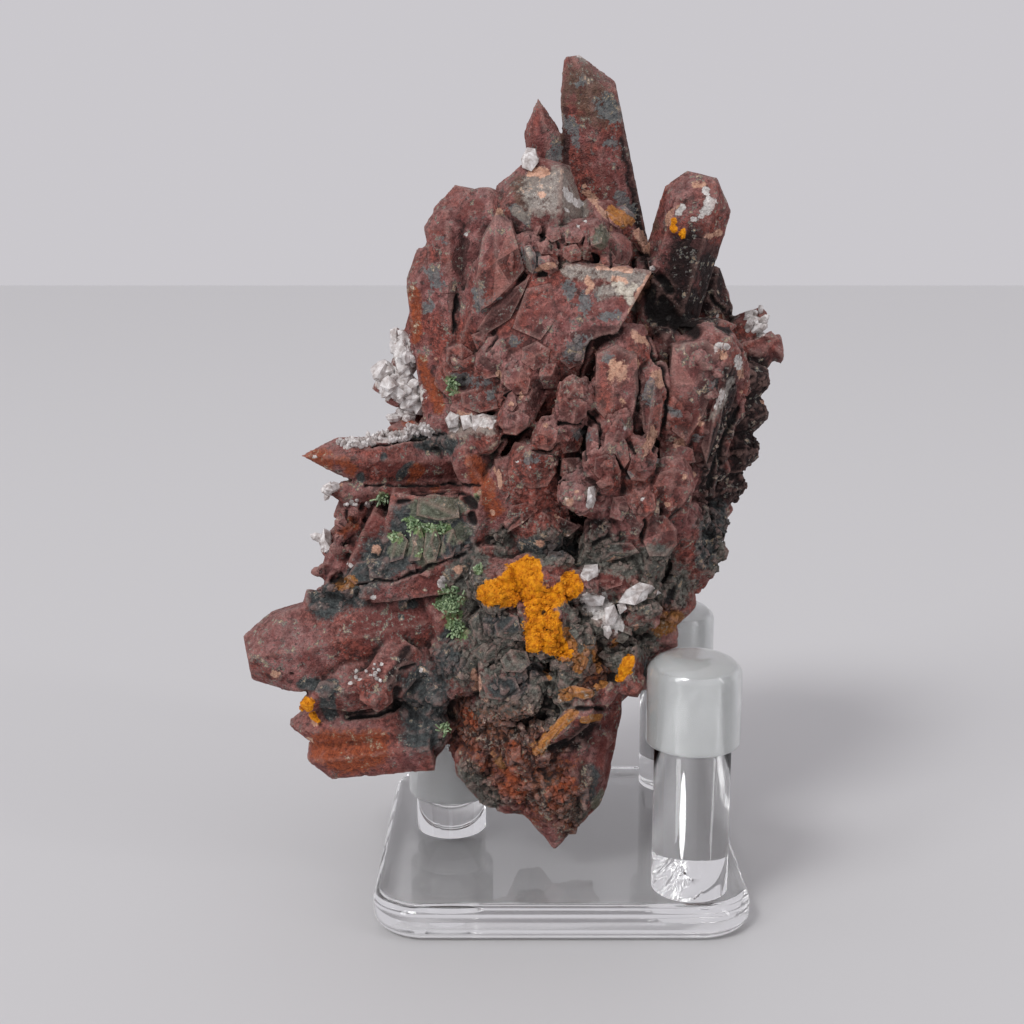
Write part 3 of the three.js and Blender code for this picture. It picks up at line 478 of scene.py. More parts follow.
def scattered(number, seed):
    """Places spread evenly over the big crystals, with the way the rock faces and the facet's size."""
    areas = np.array([p.area for p in solid.polygons])
    for pick in np.random.default_rng(seed).choice(len(areas), number, p=areas / areas.sum()):
        a, b, c = (solid_verts[i] for i in solid_faces[pick][:3])
        u, v = chance.random(), chance.random()
        if u + v > 1:
            u, v = 1 - u, 1 - v
        yield a + (b - a) * u + (c - a) * v, solid.polygons[pick].normal.copy(), areas[pick]


def evenly():
    return chance.uniform(-1, 1)


def places_around(x, z, half_x, half_z, number, meet, depth, shake=evenly):
    """Places met from the front around (x, z), with the way the rock faces there, if before a depth."""
    for _ in range(number):
        place, normal = meet(x + half_x * shake(), z + half_z * shake())
        if place is not None and place.y < depth:
            yield place, normal


# The drawn blocks are a little flatter here, because they stand again on the finished skin below.
CHUNK_SUNK = 0.35
CROWD_DEPTH = 14 * MM
verts, faces = [], []
for out, peak, *outline in CHUNKS:
    chunk(verts, faces, out - CHUNK_SUNK, peak, outline)
for x, z, wide, tall, turn, out in LUMPS:
    place, normal = seen_at(x, z)
    if place is not None:
        sight = (VIEW_POINT - place).normalized()
        toward = (0.6 * normal + 0.8 * sight).normalized()
        boulder(verts, faces, place + (out - 0.18 * wide) * MM * toward, toward, wide * MM,
                tall=tall / wide, deep=0.9 * min(wide, tall) / wide, turn=math.radians(-turn))
for x, z, half_x, half_z, shape, number, size in CROWDS:
    for place, normal in places_around(x, z, half_x, half_z, number, seen_at, CROWD_DEPTH):
        bulk = MM * size * min(1.5, chance.lognormvariate(-0.1, 0.25))
        SHAPES[shape](verts, faces, place, outward(place, normal), bulk)

# The sides and the back carry the same crowds, thick between crystals and thin on their broad faces.
# The spire stays clean.
BACK_PLACES = 900
BROAD_FACE = 14 * MM * MM
BACK_FROM = 4 * MM
SPIRE_FROM = 116 * MM
UPWARD = Vector((0, 0, 1))
for place, normal, area in scattered(BACK_PLACES, seed=7):
    if place.y < BACK_FROM or place.z > SPIRE_FROM or chance.random() < 0.8 * min(1, area / BROAD_FACE):
        continue
    bulk = MM * min(5.5, 2.6 * chance.lognormvariate(-0.05, 0.5))
    shape = SHAPES[chance.choice(("crystal", "boulder", "ledge"))]
    shape(verts, faces, place, (outward(place, normal) + 0.5 * UPWARD).normalized(), bulk)

growth = new_piece("growth", solid_verts + verts,
                   solid_faces + [tuple(i + len(solid_verts) for i in face) for face in faces])

# ---------------------------------------------------------------- the rock's minerals
# What the crust is made of from place to place: mostly iron-stained quartz, with green epidote,
# yellow goethite, white quartz and dark matrix. Each stroke is a radius and the (x, z) places that
# it runs through, in millimetres, seen from the front.
# Not all strokes are minerals: shade and the faces turned from the light are painted shade, gap strokes are
# painted near-black shade where they are cut in, and some white strokes are painted glints on shiny faces.
MINERALS = {
    "broken": [(10, (4, 84)), (9, (3, 68)), (6, (-8, 88)), (4.5, (-4, 111), (9, 112)),
        (8, (-4, 44), (8, 46)), (5, (-22, 30)), (8, (-9, 22), (-3, 16)), (7, (30, 58), (31, 86)),
        (5, (-39, 52)), (3, (-38, 62)), (5, (16, 78)), (3, (-22, 79)), (3, (-32, 57), (-28, 55))],
    "umber": [(3.2, (3, 138), (6.4, 134)), (0.9, (9.6, 135), (13, 124), (15.8, 115)),
        (1.6, (-7, 122), (-6.4, 118)), (0.7, (0.2, 136), (0.2, 126))],
    "shade": [(3.6, (21.6, 111), (20, 104), (24, 99)), (2.8, (26, 109), (25.6, 102)),
        (2.6, (16, 105), (18, 98)), (2, (27.6, 77), (27.4, 69), (26.4, 64)), (1.5, (29.4, 90), (29.4, 80)),
        (1.5, (21, 51), (22, 49)), (0.9, (-38, 27.4), (-33, 28), (-28.6, 29.6)), (1.6, (2, 62.6), (8, 63)),
        (3.6, (32, 64), (34, 90)), (1.5, (27, 80), (26, 70)), (0.9, (15.8, 103.5), (12, 121), (10.6, 129)),
        (1.6, (28.4, 101)), (1.2, (-30, 34), (-27, 40)), (1.6, (2, 22), (6, 26))],
    "shaded_face": [(0.9, (16.4, 62.6), (18.4, 66)), (0.9, (11.4, 66.4), (14, 62)),
        (1.1, (-6.6, 105), (-10.6, 101)), (1.5, (-7.6, 102.4), (-11.6, 98.8)),
        (0.8, (-12.6, 98), (-14, 97)), (0.9, (-3.4, 97.4), (-5.6, 95)), (1, (2.6, 96), (5.6, 97)),
        (0.9, (6, 96.8), (10, 97.2)), (0.9, (-3.6, 88), (-4.8, 84.8)), (1.1, (-16.6, 112), (-17.4, 108)),
        (0.8, (-18.6, 105), (-18.2, 101)), (0.8, (-13.4, 92.4), (-11, 90.4)), (0.9, (13.8, 90), (14.2, 80)),
        (1, (18.2, 96), (18.4, 91)), (0.9, (5.8, 91.4), (4.6, 88.6)), (0.8, (2, 77.4), (2.2, 73)),
        (1, (24.6, 88), (26, 80)), (1.2, (24, 73.6), (25.4, 78)), (1.1, (6, 62), (1, 63.4)),
        (0.9, (10.6, 132), (12.4, 122)), (0.6, (0.6, 134), (0.6, 124)), (0.7, (-8.2, 118), (-7.4, 115.6)),
        (0.9, (22.8, 112), (26.6, 110.6))],
    "matrix": [(6, (-13, 46), (-8, 37), (0, 34)), (5.5, (6, 46), (4, 40)), (2.6, (-10, 60)),
        (3.4, (-2, 59), (9, 58)), (3, (12, 56), (18, 57)), (3.4, (-17, 50), (-16, 57)), (4, (10, 38)),
        (5, (-18, 38)), (5, (-3, 29), (-13, 28)), (4, (16, 50), (20, 52)), (4, (14, 42)),
        (2.6, (28, 56), (28, 64)), (3, (3, 9), (-2, 14)), (2.4, (-16, 17), (-12, 11))],
    "blue_grey": [(1.7, (27, 63), (26, 57)), (4.4, (-31, 57), (-25, 60), (-19, 61)),
        (2.4, (-28, 63), (-24, 66)), (3, (-34, 54), (-42, 49)), (3, (-20, 38)), (4.6, (-24, 33), (-24, 25)),
        (1.3, (-46, 33.5), (-41, 33.5)), (1.4, (-42, 31.5), (-41.5, 28)), (0.8, (-31, 75.2)),
        (0.9, (-34.6, 71.8)), (0.7, (-28, 72), (-25.6, 74)), (2, (-24, 78.6), (-19.5, 77.6)),
        (0.9, (-28, 48.8), (-26, 48.6)), (0.7, (-28.2, 46.2)), (2.6, (-27, 65)), (1.6, (-36, 49.6)),
        (1.8, (6.2, 16.6), (5.6, 12.6)), (2.2, (-10.5, 33), (-7, 34)), (2, (16.2, 36.2)), (1.6, (-4, 37)),
        (1.5, (-6, 59.4), (2, 59)), (1.8, (29.5, 60), (28, 66)), (1.6, (-12, 45), (-8, 45)),
        (1.4, (-20, 43))],
    "red_face": [(3, (-34, 44), (-26, 46)), (1.7, (9.6, 26), (9, 21), (8.4, 17)), (1.4, (6.6, 23)),
        (1.8, (13.8, 46.6), (15.4, 47)), (2.2, (-37, 57), (-33, 64)), (1.1, (-30, 70), (-18, 69.4)),
        (1.8, (-30, 74), (-18, 72.5)), (1.5, (7.5, 124), (8, 118)), (1.1, (-16.8, 117), (-14, 118)),
        (1.6, (-23, 52), (-20.6, 53.4)), (1.5, (8.4, 53.4), (10.6, 53)), (1, (1.5, 87), (2.4, 84)),
        (1.3, (8, 73), (7.4, 71)), (1.2, (22, 83), (24, 82)), (1.6, (-5, 128), (-3.4, 124))],
    "rusty": [(7, (-9, 22), (-2, 14)), (4.6, (-15, 24)), (1.6, (6, 34), (8, 36)), (2.4, (19, 46)),
        (1.6, (-17, 30)), (2, (2, 6))],
    "grey_green": [(1.9, (7.2, 134.4), (8.4, 133.4)), (1.2, (8.2, 128.6)), (1.2, (1.2, 131.4), (2, 129)),
        (1, (10, 119.6), (11.4, 117)), (0.9, (3, 138)), (1.1, (-22, 107), (-21.4, 105.2)),
        (1.1, (-22.6, 101.4)), (0.8, (-19.6, 112.4)), (0.9, (-14.2, 103.4), (-13.8, 101.6)),
        (0.9, (1.5, 105), (1.7, 103.6)), (1.2, (3.8, 102.8), (4.4, 101.2)), (0.8, (9.6, 99.8), (7, 99.7)),
        (0.6, (7.2, 104.8), (6.4, 103.2)), (1.5, (2, 93.4), (4, 94.6)), (0.9, (-8, 95)),
        (1.1, (-18, 89), (-13, 88.4)), (0.8, (-12, 86)), (0.7, (-8, 118), (-5.8, 115.6)),
        (1.3, (-5.4, 110.5), (-4.6, 108.6)), (0.8, (-6, 74.5), (-3.6, 75)), (1, (4.6, 79), (3, 79.4)),
        (0.8, (19, 84), (20.6, 82.6)), (1, (15, 86), (15.6, 88)), (0.8, (8, 92.6)), (0.9, (24, 79)),
        (1.4, (-1, 127)), (0.8, (-11, 103)), (0.8, (12, 72)), (0.7, (26.8, 88.4))],
    "olive": [(2.1, (-24.4, 66.2), (-18.8, 66.2)), (1.7, (-24.4, 59), (-23.4, 56.4)),
        (1.5, (-18.6, 61), (-17, 62)), (1.2, (6.8, 114), (6.7, 112.2)), (1, (8.4, 12.4), (7, 10.4)),
        (1.4, (-29, 58.5)), (1.2, (-21, 59)), (1.5, (-27, 59), (-22.4, 60.6))],
    "orange_red": [(2.6, (-43, 21), (-39, 19), (-34, 20.4)), (1.6, (0.3, 12.6), (1.6, 14.6)),
        (1.3, (-9, 17), (-7.4, 14)), (2.3, (-43, 22.6), (-33, 22.6)),
        (1.1, (-1, 13.2), (1, 13.6), (2.4, 14.8)), (0.9, (-1, 10.4)), (1, (-9.4, 13.4), (-7, 12.4)),
        (0.8, (-8.4, 22), (-7, 20)), (0.8, (-14.6, 22.6)), (0.9, (-25, 104), (-24.8, 96)),
        (1, (-24, 92), (-21, 84)), (1.7, (-44, 75.8), (-41, 74.4)), (1.1, (-38, 74.6), (-36.4, 73)),
        (1.1, (-38.4, 62), (-36.4, 63.4)), (1.2, (-26.5, 82)), (1.7, (-14.6, 74), (-13.4, 70), (-11.6, 66)),
        (0.9, (-17, 28), (-15, 26)), (0.9, (-22, 70)), (0.8, (-14, 18)), (0.9, (-26, 71), (-24.6, 73.4))],
    "ochre": [(0.7, (4.4, 37.4), (5, 40)), (1.1, (-39, 52), (-37, 52.8)), (0.7, (-11, 20), (-10, 18)),
        (1.8, (18.6, 44.8), (20.6, 45.8))],
    "goethite": [(2.4, (-11.6, 50.7), (-8, 50.8)), (2.4, (-8.4, 53.2), (-6, 54.8)),
        (2, (-4.8, 55), (-5, 52.6)), (2.2, (-4.6, 50.2), (-1.6, 49.8)), (1.7, (0, 50.8), (3, 51.8)),
        (1.4, (1.7, 53.4), (2.2, 53)), (2.8, (-3.2, 47), (-3.2, 43.6)), (1.8, (-3.6, 41.6), (-1.4, 41.4)),
        (1.2, (-0.8, 46), (-0.8, 41)), (1.3, (-0.6, 41.6), (1.4, 39.8)), (1.3, (-45.2, 30)),
        (0.5, (-44.4, 28), (-43.8, 26.6)), (0.8, (19, 114.5)), (0.7, (20.6, 113.8)), (0.5, (19.2, 115.6)),
        (1.1, (12.9, 38.2), (11.6, 35.4))],
    "amber": [(1.3, (1.6, 43.2), (1.7, 38.8)), (1.3, (2, 39.6), (3.8, 37)),
        (1.1, (8.6, 117.2), (11, 115.4)), (0.7, (6.7, 41.4), (7.4, 36.8)), (0.6, (-2, 36.4), (-1.4, 34.8)),
        (1.1, (1.2, 31.6), (3, 32.4), (5.4, 31.9)), (1, (2.6, 28), (0.4, 26), (-2, 23.4), (-4, 21)),
        (0.7, (5, 27), (7.6, 27.4)), (0.9, (10.2, 41.8)), (1, (-3.4, 21.2)),
        (0.6, (8.6, 34.6), (7.4, 33.4))],
    "epidote": [(2, (-19.4, 50), (-18.8, 47.4)), (1.3, (-21.2, 48.6)), (1.4, (-18.8, 44.6), (-17.8, 43.4)),
        (0.9, (-29.4, 61), (-28.4, 60.8)), (0.8, (-26.4, 64), (-24.4, 61.6)),
        (0.8, (-23, 62.6), (-20, 62.4)), (1, (-31.2, 67.8)), (0.9, (-20.6, 25.4)), (0.7, (-14.2, 54.8)),
        (0.9, (-19, 88.8), (-18.4, 87)), (0.6, (-24.8, 57.6)), (0.5, (-14.6, 68))],
    "bare": [(2.8, (-4, 118.8), (0, 118.6)), (2.2, (-4, 122), (0, 122.6)), (1.2, (7, 104), (9, 104.6)),
        (1.4, (2, 120.4), (3.4, 117.4)), (1.5, (1.6, 107.4), (6, 107.3)), (1.3, (8.4, 106.8), (14, 106.2)),
        (1.5, (10.2, 104.4), (13.4, 104.8)), (0.9, (12, 102.6), (12.8, 101.2)),
        (0.6, (-5.3, 110.8), (-5.4, 108.2)), (0.7, (-7.8, 117.6), (-6, 116)),
        (1.9, (5.4, 48.8), (7.6, 47.4)), (1.3, (10.6, 44.6)), (1.4, (6.8, 45.4)),
        (1.6, (-18, 80.4), (-12.6, 80.6)), (1.1, (5.8, 69)), (1.1, (24.6, 118)),
        (0.6, (29.6, 88.6), (26.6, 82)), (0.7, (21.4, 94.8)), (0.7, (3.4, 142))],
    "salmon": [(0.6, (-3.4, 120)), (0.6, (-5, 123.6), (-2.6, 124)), (0.8, (13, 113.8), (14.4, 111)),
        (0.7, (4.4, 106), (5, 104.8)), (0.5, (4.3, 103.7)), (0.6, (9.4, 106.1), (10.6, 105.5)),
        (0.5, (15.2, 106.4), (13, 102.9), (11.8, 100.6)), (0.35, (6, 108.2), (12, 107.5)),
        (0.4, (24.4, 113.2), (27, 113.8)), (0.5, (18.6, 117.4), (18.2, 115.4)), (0.4, (28, 111.4)),
        (0.4, (26.8, 110)), (0.5, (20, 118)), (0.6, (22.8, 121.6), (24, 121.8)), (1, (9.6, 91), (11, 89.8)),
        (0.8, (8.6, 89.6)), (0.5, (12.6, 93), (13.6, 92)), (0.8, (13, 96.4), (14.6, 95.6)),
        (0.9, (16.6, 89.8), (17.4, 89)), (0.7, (11.2, 84.8)), (0.9, (16.2, 79.4), (15.6, 77.4)),
        (0.6, (20.4, 77.6), (21.4, 78)), (0.5, (22, 71.7)), (0.7, (26.2, 94), (28.4, 93)),
        (0.5, (24.5, 81.4)), (0.5, (-8.4, 84.6)), (0.4, (-6.8, 86.4)), (0.6, (-2.6, 80.8)),
        (0.8, (-17.6, 82.4), (-12.4, 81.4)), (0.7, (-15, 35.6), (-14.6, 33)), (0.5, (-13.4, 30.8)),
        (0.6, (-2.3, 25.2)), (0.5, (-10.6, 117.2)), (0.6, (6.8, 41.6), (7.4, 40)), (0.4, (6, 94)),
        (0.4, (8.5, 114.5)), (0.5, (14, 44.4)), (0.5, (-11, 73), (-10.4, 70.4)),
        (0.6, (4.4, 120.4), (7.4, 116.8)), (0.5, (-1.4, 108.4), (-4, 107.8)), (0.4, (3.6, 77.6)),
        (0.4, (31.2, 91), (31.4, 89.4))],
    "cream": [(0.9, (10.2, 104.4), (11.5, 103.4)), (0.7, (12.4, 105), (12, 102.6)), (0.5, (9.2, 105.4))],
    "white": [(0.8, (24.6, 120.6)), (1.1, (25, 118.6), (24.6, 117.6)), (0.5, (20.6, 118.2), (19.8, 117)),
        (0.5, (22.4, 116)), (0.4, (23.6, 116.6)), (0.6, (0.7, 120.8), (1.3, 119.4)),
        (0.5, (2.2, 118.8), (3.2, 118.6)), (0.35, (3, 114.8)), (0.3, (1, 117.6)), (0.3, (4.1, 115.7)),
        (0.3, (3.1, 108.5)), (1.4, (-5.2, 126.2)), (0.9, (-18.6, 82), (-18.4, 80.6)),
        (1, (-15, 81.6), (-12, 81.8)), (0.8, (-37, 77.6), (-32, 78.4), (-25, 80.2)),
        (0.9, (-41.4, 64), (-41.8, 59)), (0.6, (-40.4, 69.6)), (0.5, (-36.6, 67.2)), (0.6, (-33.4, 67)),
        (0.5, (-37, 56)), (0.35, (-36.4, 36.2)), (0.35, (-34, 35.6)), (0.4, (-32, 37.4)),
        (0.4, (-37.6, 34)), (0.35, (-36, 34.8)), (0.5, (-21, 52.8), (-20.4, 51.6)),
        (1, (8.8, 47.4), (8.8, 44)), (1.5, (8, 49.2), (5.4, 49)), (1.2, (9.6, 46), (10.8, 44.4)),
        (1, (7.2, 46.6)), (1, (4.8, 54), (6.2, 54.8)), (1, (32.6, 100.2), (34.6, 97.4)),
        (0.7, (27.2, 94.8)), (0.5, (21.2, 94.4)), (0.6, (30.6, 92.4), (31, 91)),
        (0.5, (28.4, 86.4), (27.4, 84.6)), (0.7, (5.9, 69.4), (5.6, 67)), (0.3, (-7.6, 74.4)),
        (0.3, (-5.4, 73.4)), (0.3, (-2.2, 72.6)), (0.4, (14.8, 68)), (0.7, (3, 142.6)),
        (1.6, (-27.8, 95.6), (-26.6, 90)), (2.4, (-29.6, 89), (-26, 86)), (1.2, (-30.6, 86)),
        (0.5, (15.6, 107.8)), (0.3, (-8, 32.6)), (0.4, (19.6, 50)), (0.3, (20, 48.6)), (0.35, (3.4, 46.2)),
        (0.3, (3.4, 108.4))],
    "gap": [(0.3, (-17.7, 103.6), (-18.1, 100), (-18.4, 96.8)), (0.3, (-11.2, 96.4), (-12.4, 93.8)),
        (1.3, (14.8, 104), (15.6, 100.6), (17.4, 99)), (1.5, (17.4, 101.4), (20.4, 98.4), (23, 97.4)),
        (0.8, (18.6, 104), (17, 106)), (1, (27.4, 98.4), (29.4, 97.6)), (0.3, (5.2, 95.4), (8.4, 96.4)),
        (0.3, (5.4, 95), (4.6, 92), (3.4, 89.4)), (0.25, (4.9, 83), (6.8, 81.4), (7, 77)),
        (0.3, (15.4, 96.4), (16, 92.8), (18, 91), (18.8, 86), (18.5, 81.6), (16.6, 76.6)),
        (0.25, (13.2, 91), (13.6, 83)), (0.6, (-9.6, 78.7), (-7.4, 78.6), (-5.6, 80)),
        (0.35, (-10, 77.6), (-11.6, 75.4)), (0.3, (0, 81), (3.6, 80.9)),
        (0.25, (-4.4, 76.2), (-1.6, 75.9), (0, 77.4)), (0.35, (4.4, 80.4), (4.4, 75)),
        (0.3, (12.4, 77.6), (13, 75.8)), (0.3, (0.2, 75.2), (-0.2, 71)), (0.3, (10.2, 75), (12.2, 71.4)),
        (0.35, (15.4, 64), (14.8, 60)), (0.6, (5.6, 59.4), (8.8, 61.4)), (0.35, (-9.8, 62), (-7, 64.6)),
        (0.35, (19.6, 64.4), (21, 66)), (0.5, (31, 84), (28, 77), (26.4, 70)),
        (0.3, (-36, 52.6), (-30, 53), (-26, 54.4), (-20, 56.6), (-16.6, 58)),
        (0.9, (-16.4, 68), (-15.4, 66.4)), (0.7, (-14.4, 67.6)), (0.6, (-15.6, 65), (-14.8, 63.6)),
        (0.25, (-34, 70.3), (-14, 70.4)), (0.3, (-26, 69), (-17, 68.9)), (0.35, (-37.4, 65.6), (-37.4, 64)),
        (0.6, (-34.6, 66.2)), (0.35, (-28.6, 67.2), (-26.6, 67.4)),
        (0.35, (-38, 27), (-33, 28), (-28.6, 29.6)), (0.6, (-29.8, 29), (-28.8, 33)), (0.3, (-48, 35.8)),
        (0.25, (-28.4, 36.6), (-26, 37.4)), (0.5, (3.2, 29), (8, 29.2)), (0.7, (-1, 21.2), (1.4, 22.4)),
        (0.6, (-3.6, 26.8), (-1.8, 27.6)), (0.3, (-4.2, 26.4), (-2.2, 28.6)),
        (0.3, (-10, 30.6), (-6, 34.4), (-5, 36.4)), (0.4, (-2.4, 47.4), (-2.6, 46.8)),
        (0.3, (-2.4, 44.2), (-1.2, 43.8)), (0.9, (20.4, 51.6), (19.8, 49)), (0.7, (-4, 37), (-2, 36)),
        (0.4, (18.6, 53), (20, 56)), (0.3, (-14.4, 48.4), (-13.6, 44)), (0.25, (-33, 77.2), (-20, 79.4)),
        (0.5, (-3, 113.7), (-3.4, 112.6)), (0.25, (-1.8, 112.2), (-1.6, 111)),
        (0.25, (-0.7, 112.2), (-0.5, 111.2)), (0.5, (-4, 106.8), (-2.6, 106.8)),
        (0.4, (5.4, 110.1), (6.1, 109)), (0.3, (3.9, 113), (3.5, 112)), (0.3, (12.6, 109.4), (12.4, 108)),
        (0.25, (-0.2, 110), (-0.2, 107.6)), (0.3, (10.8, 48.4), (9, 46.4)),
        (0.3, (8.6, 108.2), (8.4, 110.4)), (0.4, (25.6, 103.4), (27.6, 101))],
}
# Patches on the sides and the back, and small flecks all over: mineral, number and largest radius,
# and the height below which they lie.
FLECK_SEED = 100
FLECKS = [
    ("grey_green", 46, 2.2, 150), ("salmon", 130, 0.8, 150), ("white", 60, 0.6, 150),
    ("orange_red", 26, 2.2, 150), ("goethite", 9, 1.8, 60), ("ochre", 16, 1.6, 70), ("bare", 14, 2.2, 150),
    ("epidote", 12, 1.4, 80), ("matrix", 34, 6, 52), ("blue_grey", 16, 4, 60), ("rusty", 16, 4, 50),
    ("broken", 30, 7, 90), ("red_face", 26, 4, 150),
]
# How far a patch that is seen from the front runs on in depth, over uneven ground.
AS_DEEP = 3 * MM
STROKE_STEPS = 6

strokes, spots = [], []
for mineral, lines in MINERALS.items():
    for radius, *turns in lines:
        for start, end in zip(turns, turns[1:] or turns):
            places = [seen_at(*(a + (b - a) * step / STROKE_STEPS for a, b in zip(start, end)))[0]
                      for step in range(STROKE_STEPS + 1)]
            depths = [place.y for place in places if place is not None]
            if depths:
                reach = AS_DEEP + radius * MM
                strokes.append((mineral, radius, start, end, min(depths) - reach, max(depths) + reach))
for turn, (mineral, number, largest, highest) in enumerate(FLECKS):
    for place, _, _ in scattered(number * 3, FLECK_SEED + turn):
        if place.z < highest * MM and number > 0 and (largest < 1 or place.y > BACK_FROM):
            number -= 1
            spots.append((mineral, largest * MM * chance.uniform(0.4, 1), np.array(place)))


def softened(values, edges, times):
    """The values after each point has taken the mean of its neighbours, so many times."""
    ends_a, ends_b = edges
    count = len(values)
    near = np.bincount(ends_a, minlength=count) + np.bincount(ends_b, minlength=count)
    values = values.copy()
    for _ in range(times):
        for k in range(values.shape[1]):
            total = (np.bincount(ends_a, values[ends_b, k], count)
                     + np.bincount(ends_b, values[ends_a, k], count))
            values[:, k] = 0.4 * values[:, k] + 0.6 * total / near
    return values


def share(values, low, high):
    """0 up to the low value, 1 from the high value on, and even in between."""
    return np.clip((values - low) / (high - low), 0, 1)


def read(items, name, width=1, kind=float):
    """One value, or one row of values, of every item in a mesh's list."""
    values = np.empty(len(items) * width, dtype=kind)
    items.foreach_get(name, values)
    return values if width == 1 else values.reshape(-1, width)


def facing(mesh, points):
    """Moves the mesh's points to these places, and gives the way each of them then faces."""
    mesh.vertices.foreach_set("co", points.ravel())
    mesh.update()
    return read(mesh.vertex_normals, "vector", 3)


# The usual size of the blocks and of the facets that the crust breaks into, in millimetres.
BLOCKS = 3.6
FACETS = 1.4
CELL_MIDDLE = Vector((0.5, 0.5, 0.5))
PITS_APART = Vector((31, 7, 5))
# The grain of a skin for which the numbers of softening rounds below are meant.
SOFTEN_GRAIN = 0.42 * MM
# How far the crust stays inside the frame's box, and how near to a cap it starts to be and is full.
BOX_ROOM = 0.02 * MM
CAP_CLEAR = (0.9 * MM, 2.4 * MM)
# A stroke or a spot fades out to nothing at this many times its radius.
FADE = 1.5
rock_low, rock_high = (np.array(corner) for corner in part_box("quartz_cluster"))


def kept_inside(points):
    return np.clip(points, rock_low + BOX_ROOM, rock_high - BOX_ROOM)


def write_layers(mesh, layers):
    for name, values in layers.items():
        layer = mesh.attributes.new(name, "FLOAT", "POINT")
        layer.data.foreach_set("value", np.asarray(values, dtype=np.float32))


def amounts_at(points, wobble):
    """How much of each mineral there is at each point, from 0 to 1."""
    amount = {mineral: np.zeros(len(points)) for mineral in MINERALS}

    def spread(mineral, close, away):
        amount[mineral][close] = np.maximum(amount[mineral][close], np.clip(FADE - away, 0, 1))

    sight = points - VIEW_POINT
    seen = (np.array(VIEW_POINT) - sight * (VIEW_POINT.y / sight[:, 1])[:, None])[:, ::2] / MM + wobble
    for mineral, radius, start, end, near, far in strokes:
        start, end = np.array(start), np.array(end)
        close = np.flatnonzero((seen > np.minimum(start, end) - FADE * radius).all(1)
                               & (seen < np.maximum(start, end) + FADE * radius).all(1)
                               & (points[:, 1] > near) & (points[:, 1] < far))
        along, offset = end - start, seen[close] - start
        offset -= np.clip(offset @ along / max(along @ along, 1e-9), 0, 1)[:, None] * along
        spread(mineral, close, np.linalg.norm(offset, axis=1) / radius)
    for mineral, radius, place in spots:
        close = np.flatnonzero((np.abs(points - place) < FADE * radius).all(1))
        spread(mineral, close, np.linalg.norm(points[close] - place, axis=1) / radius)
    return amount


def clear_of_caps(points):
    """0 where the rock lies on or beside a cap, and 1 away from them."""
    free = np.ones(len(points))
    near, far = CAP_CLEAR
    for x, y, top in PEGS.values():
        beside = share(np.hypot(points[:, 0] - x, points[:, 1] - y), CAP_RADIUS + near, CAP_RADIUS + far)
        free *= np.maximum(beside, share(points[:, 2], top + near, top + far))
    return free


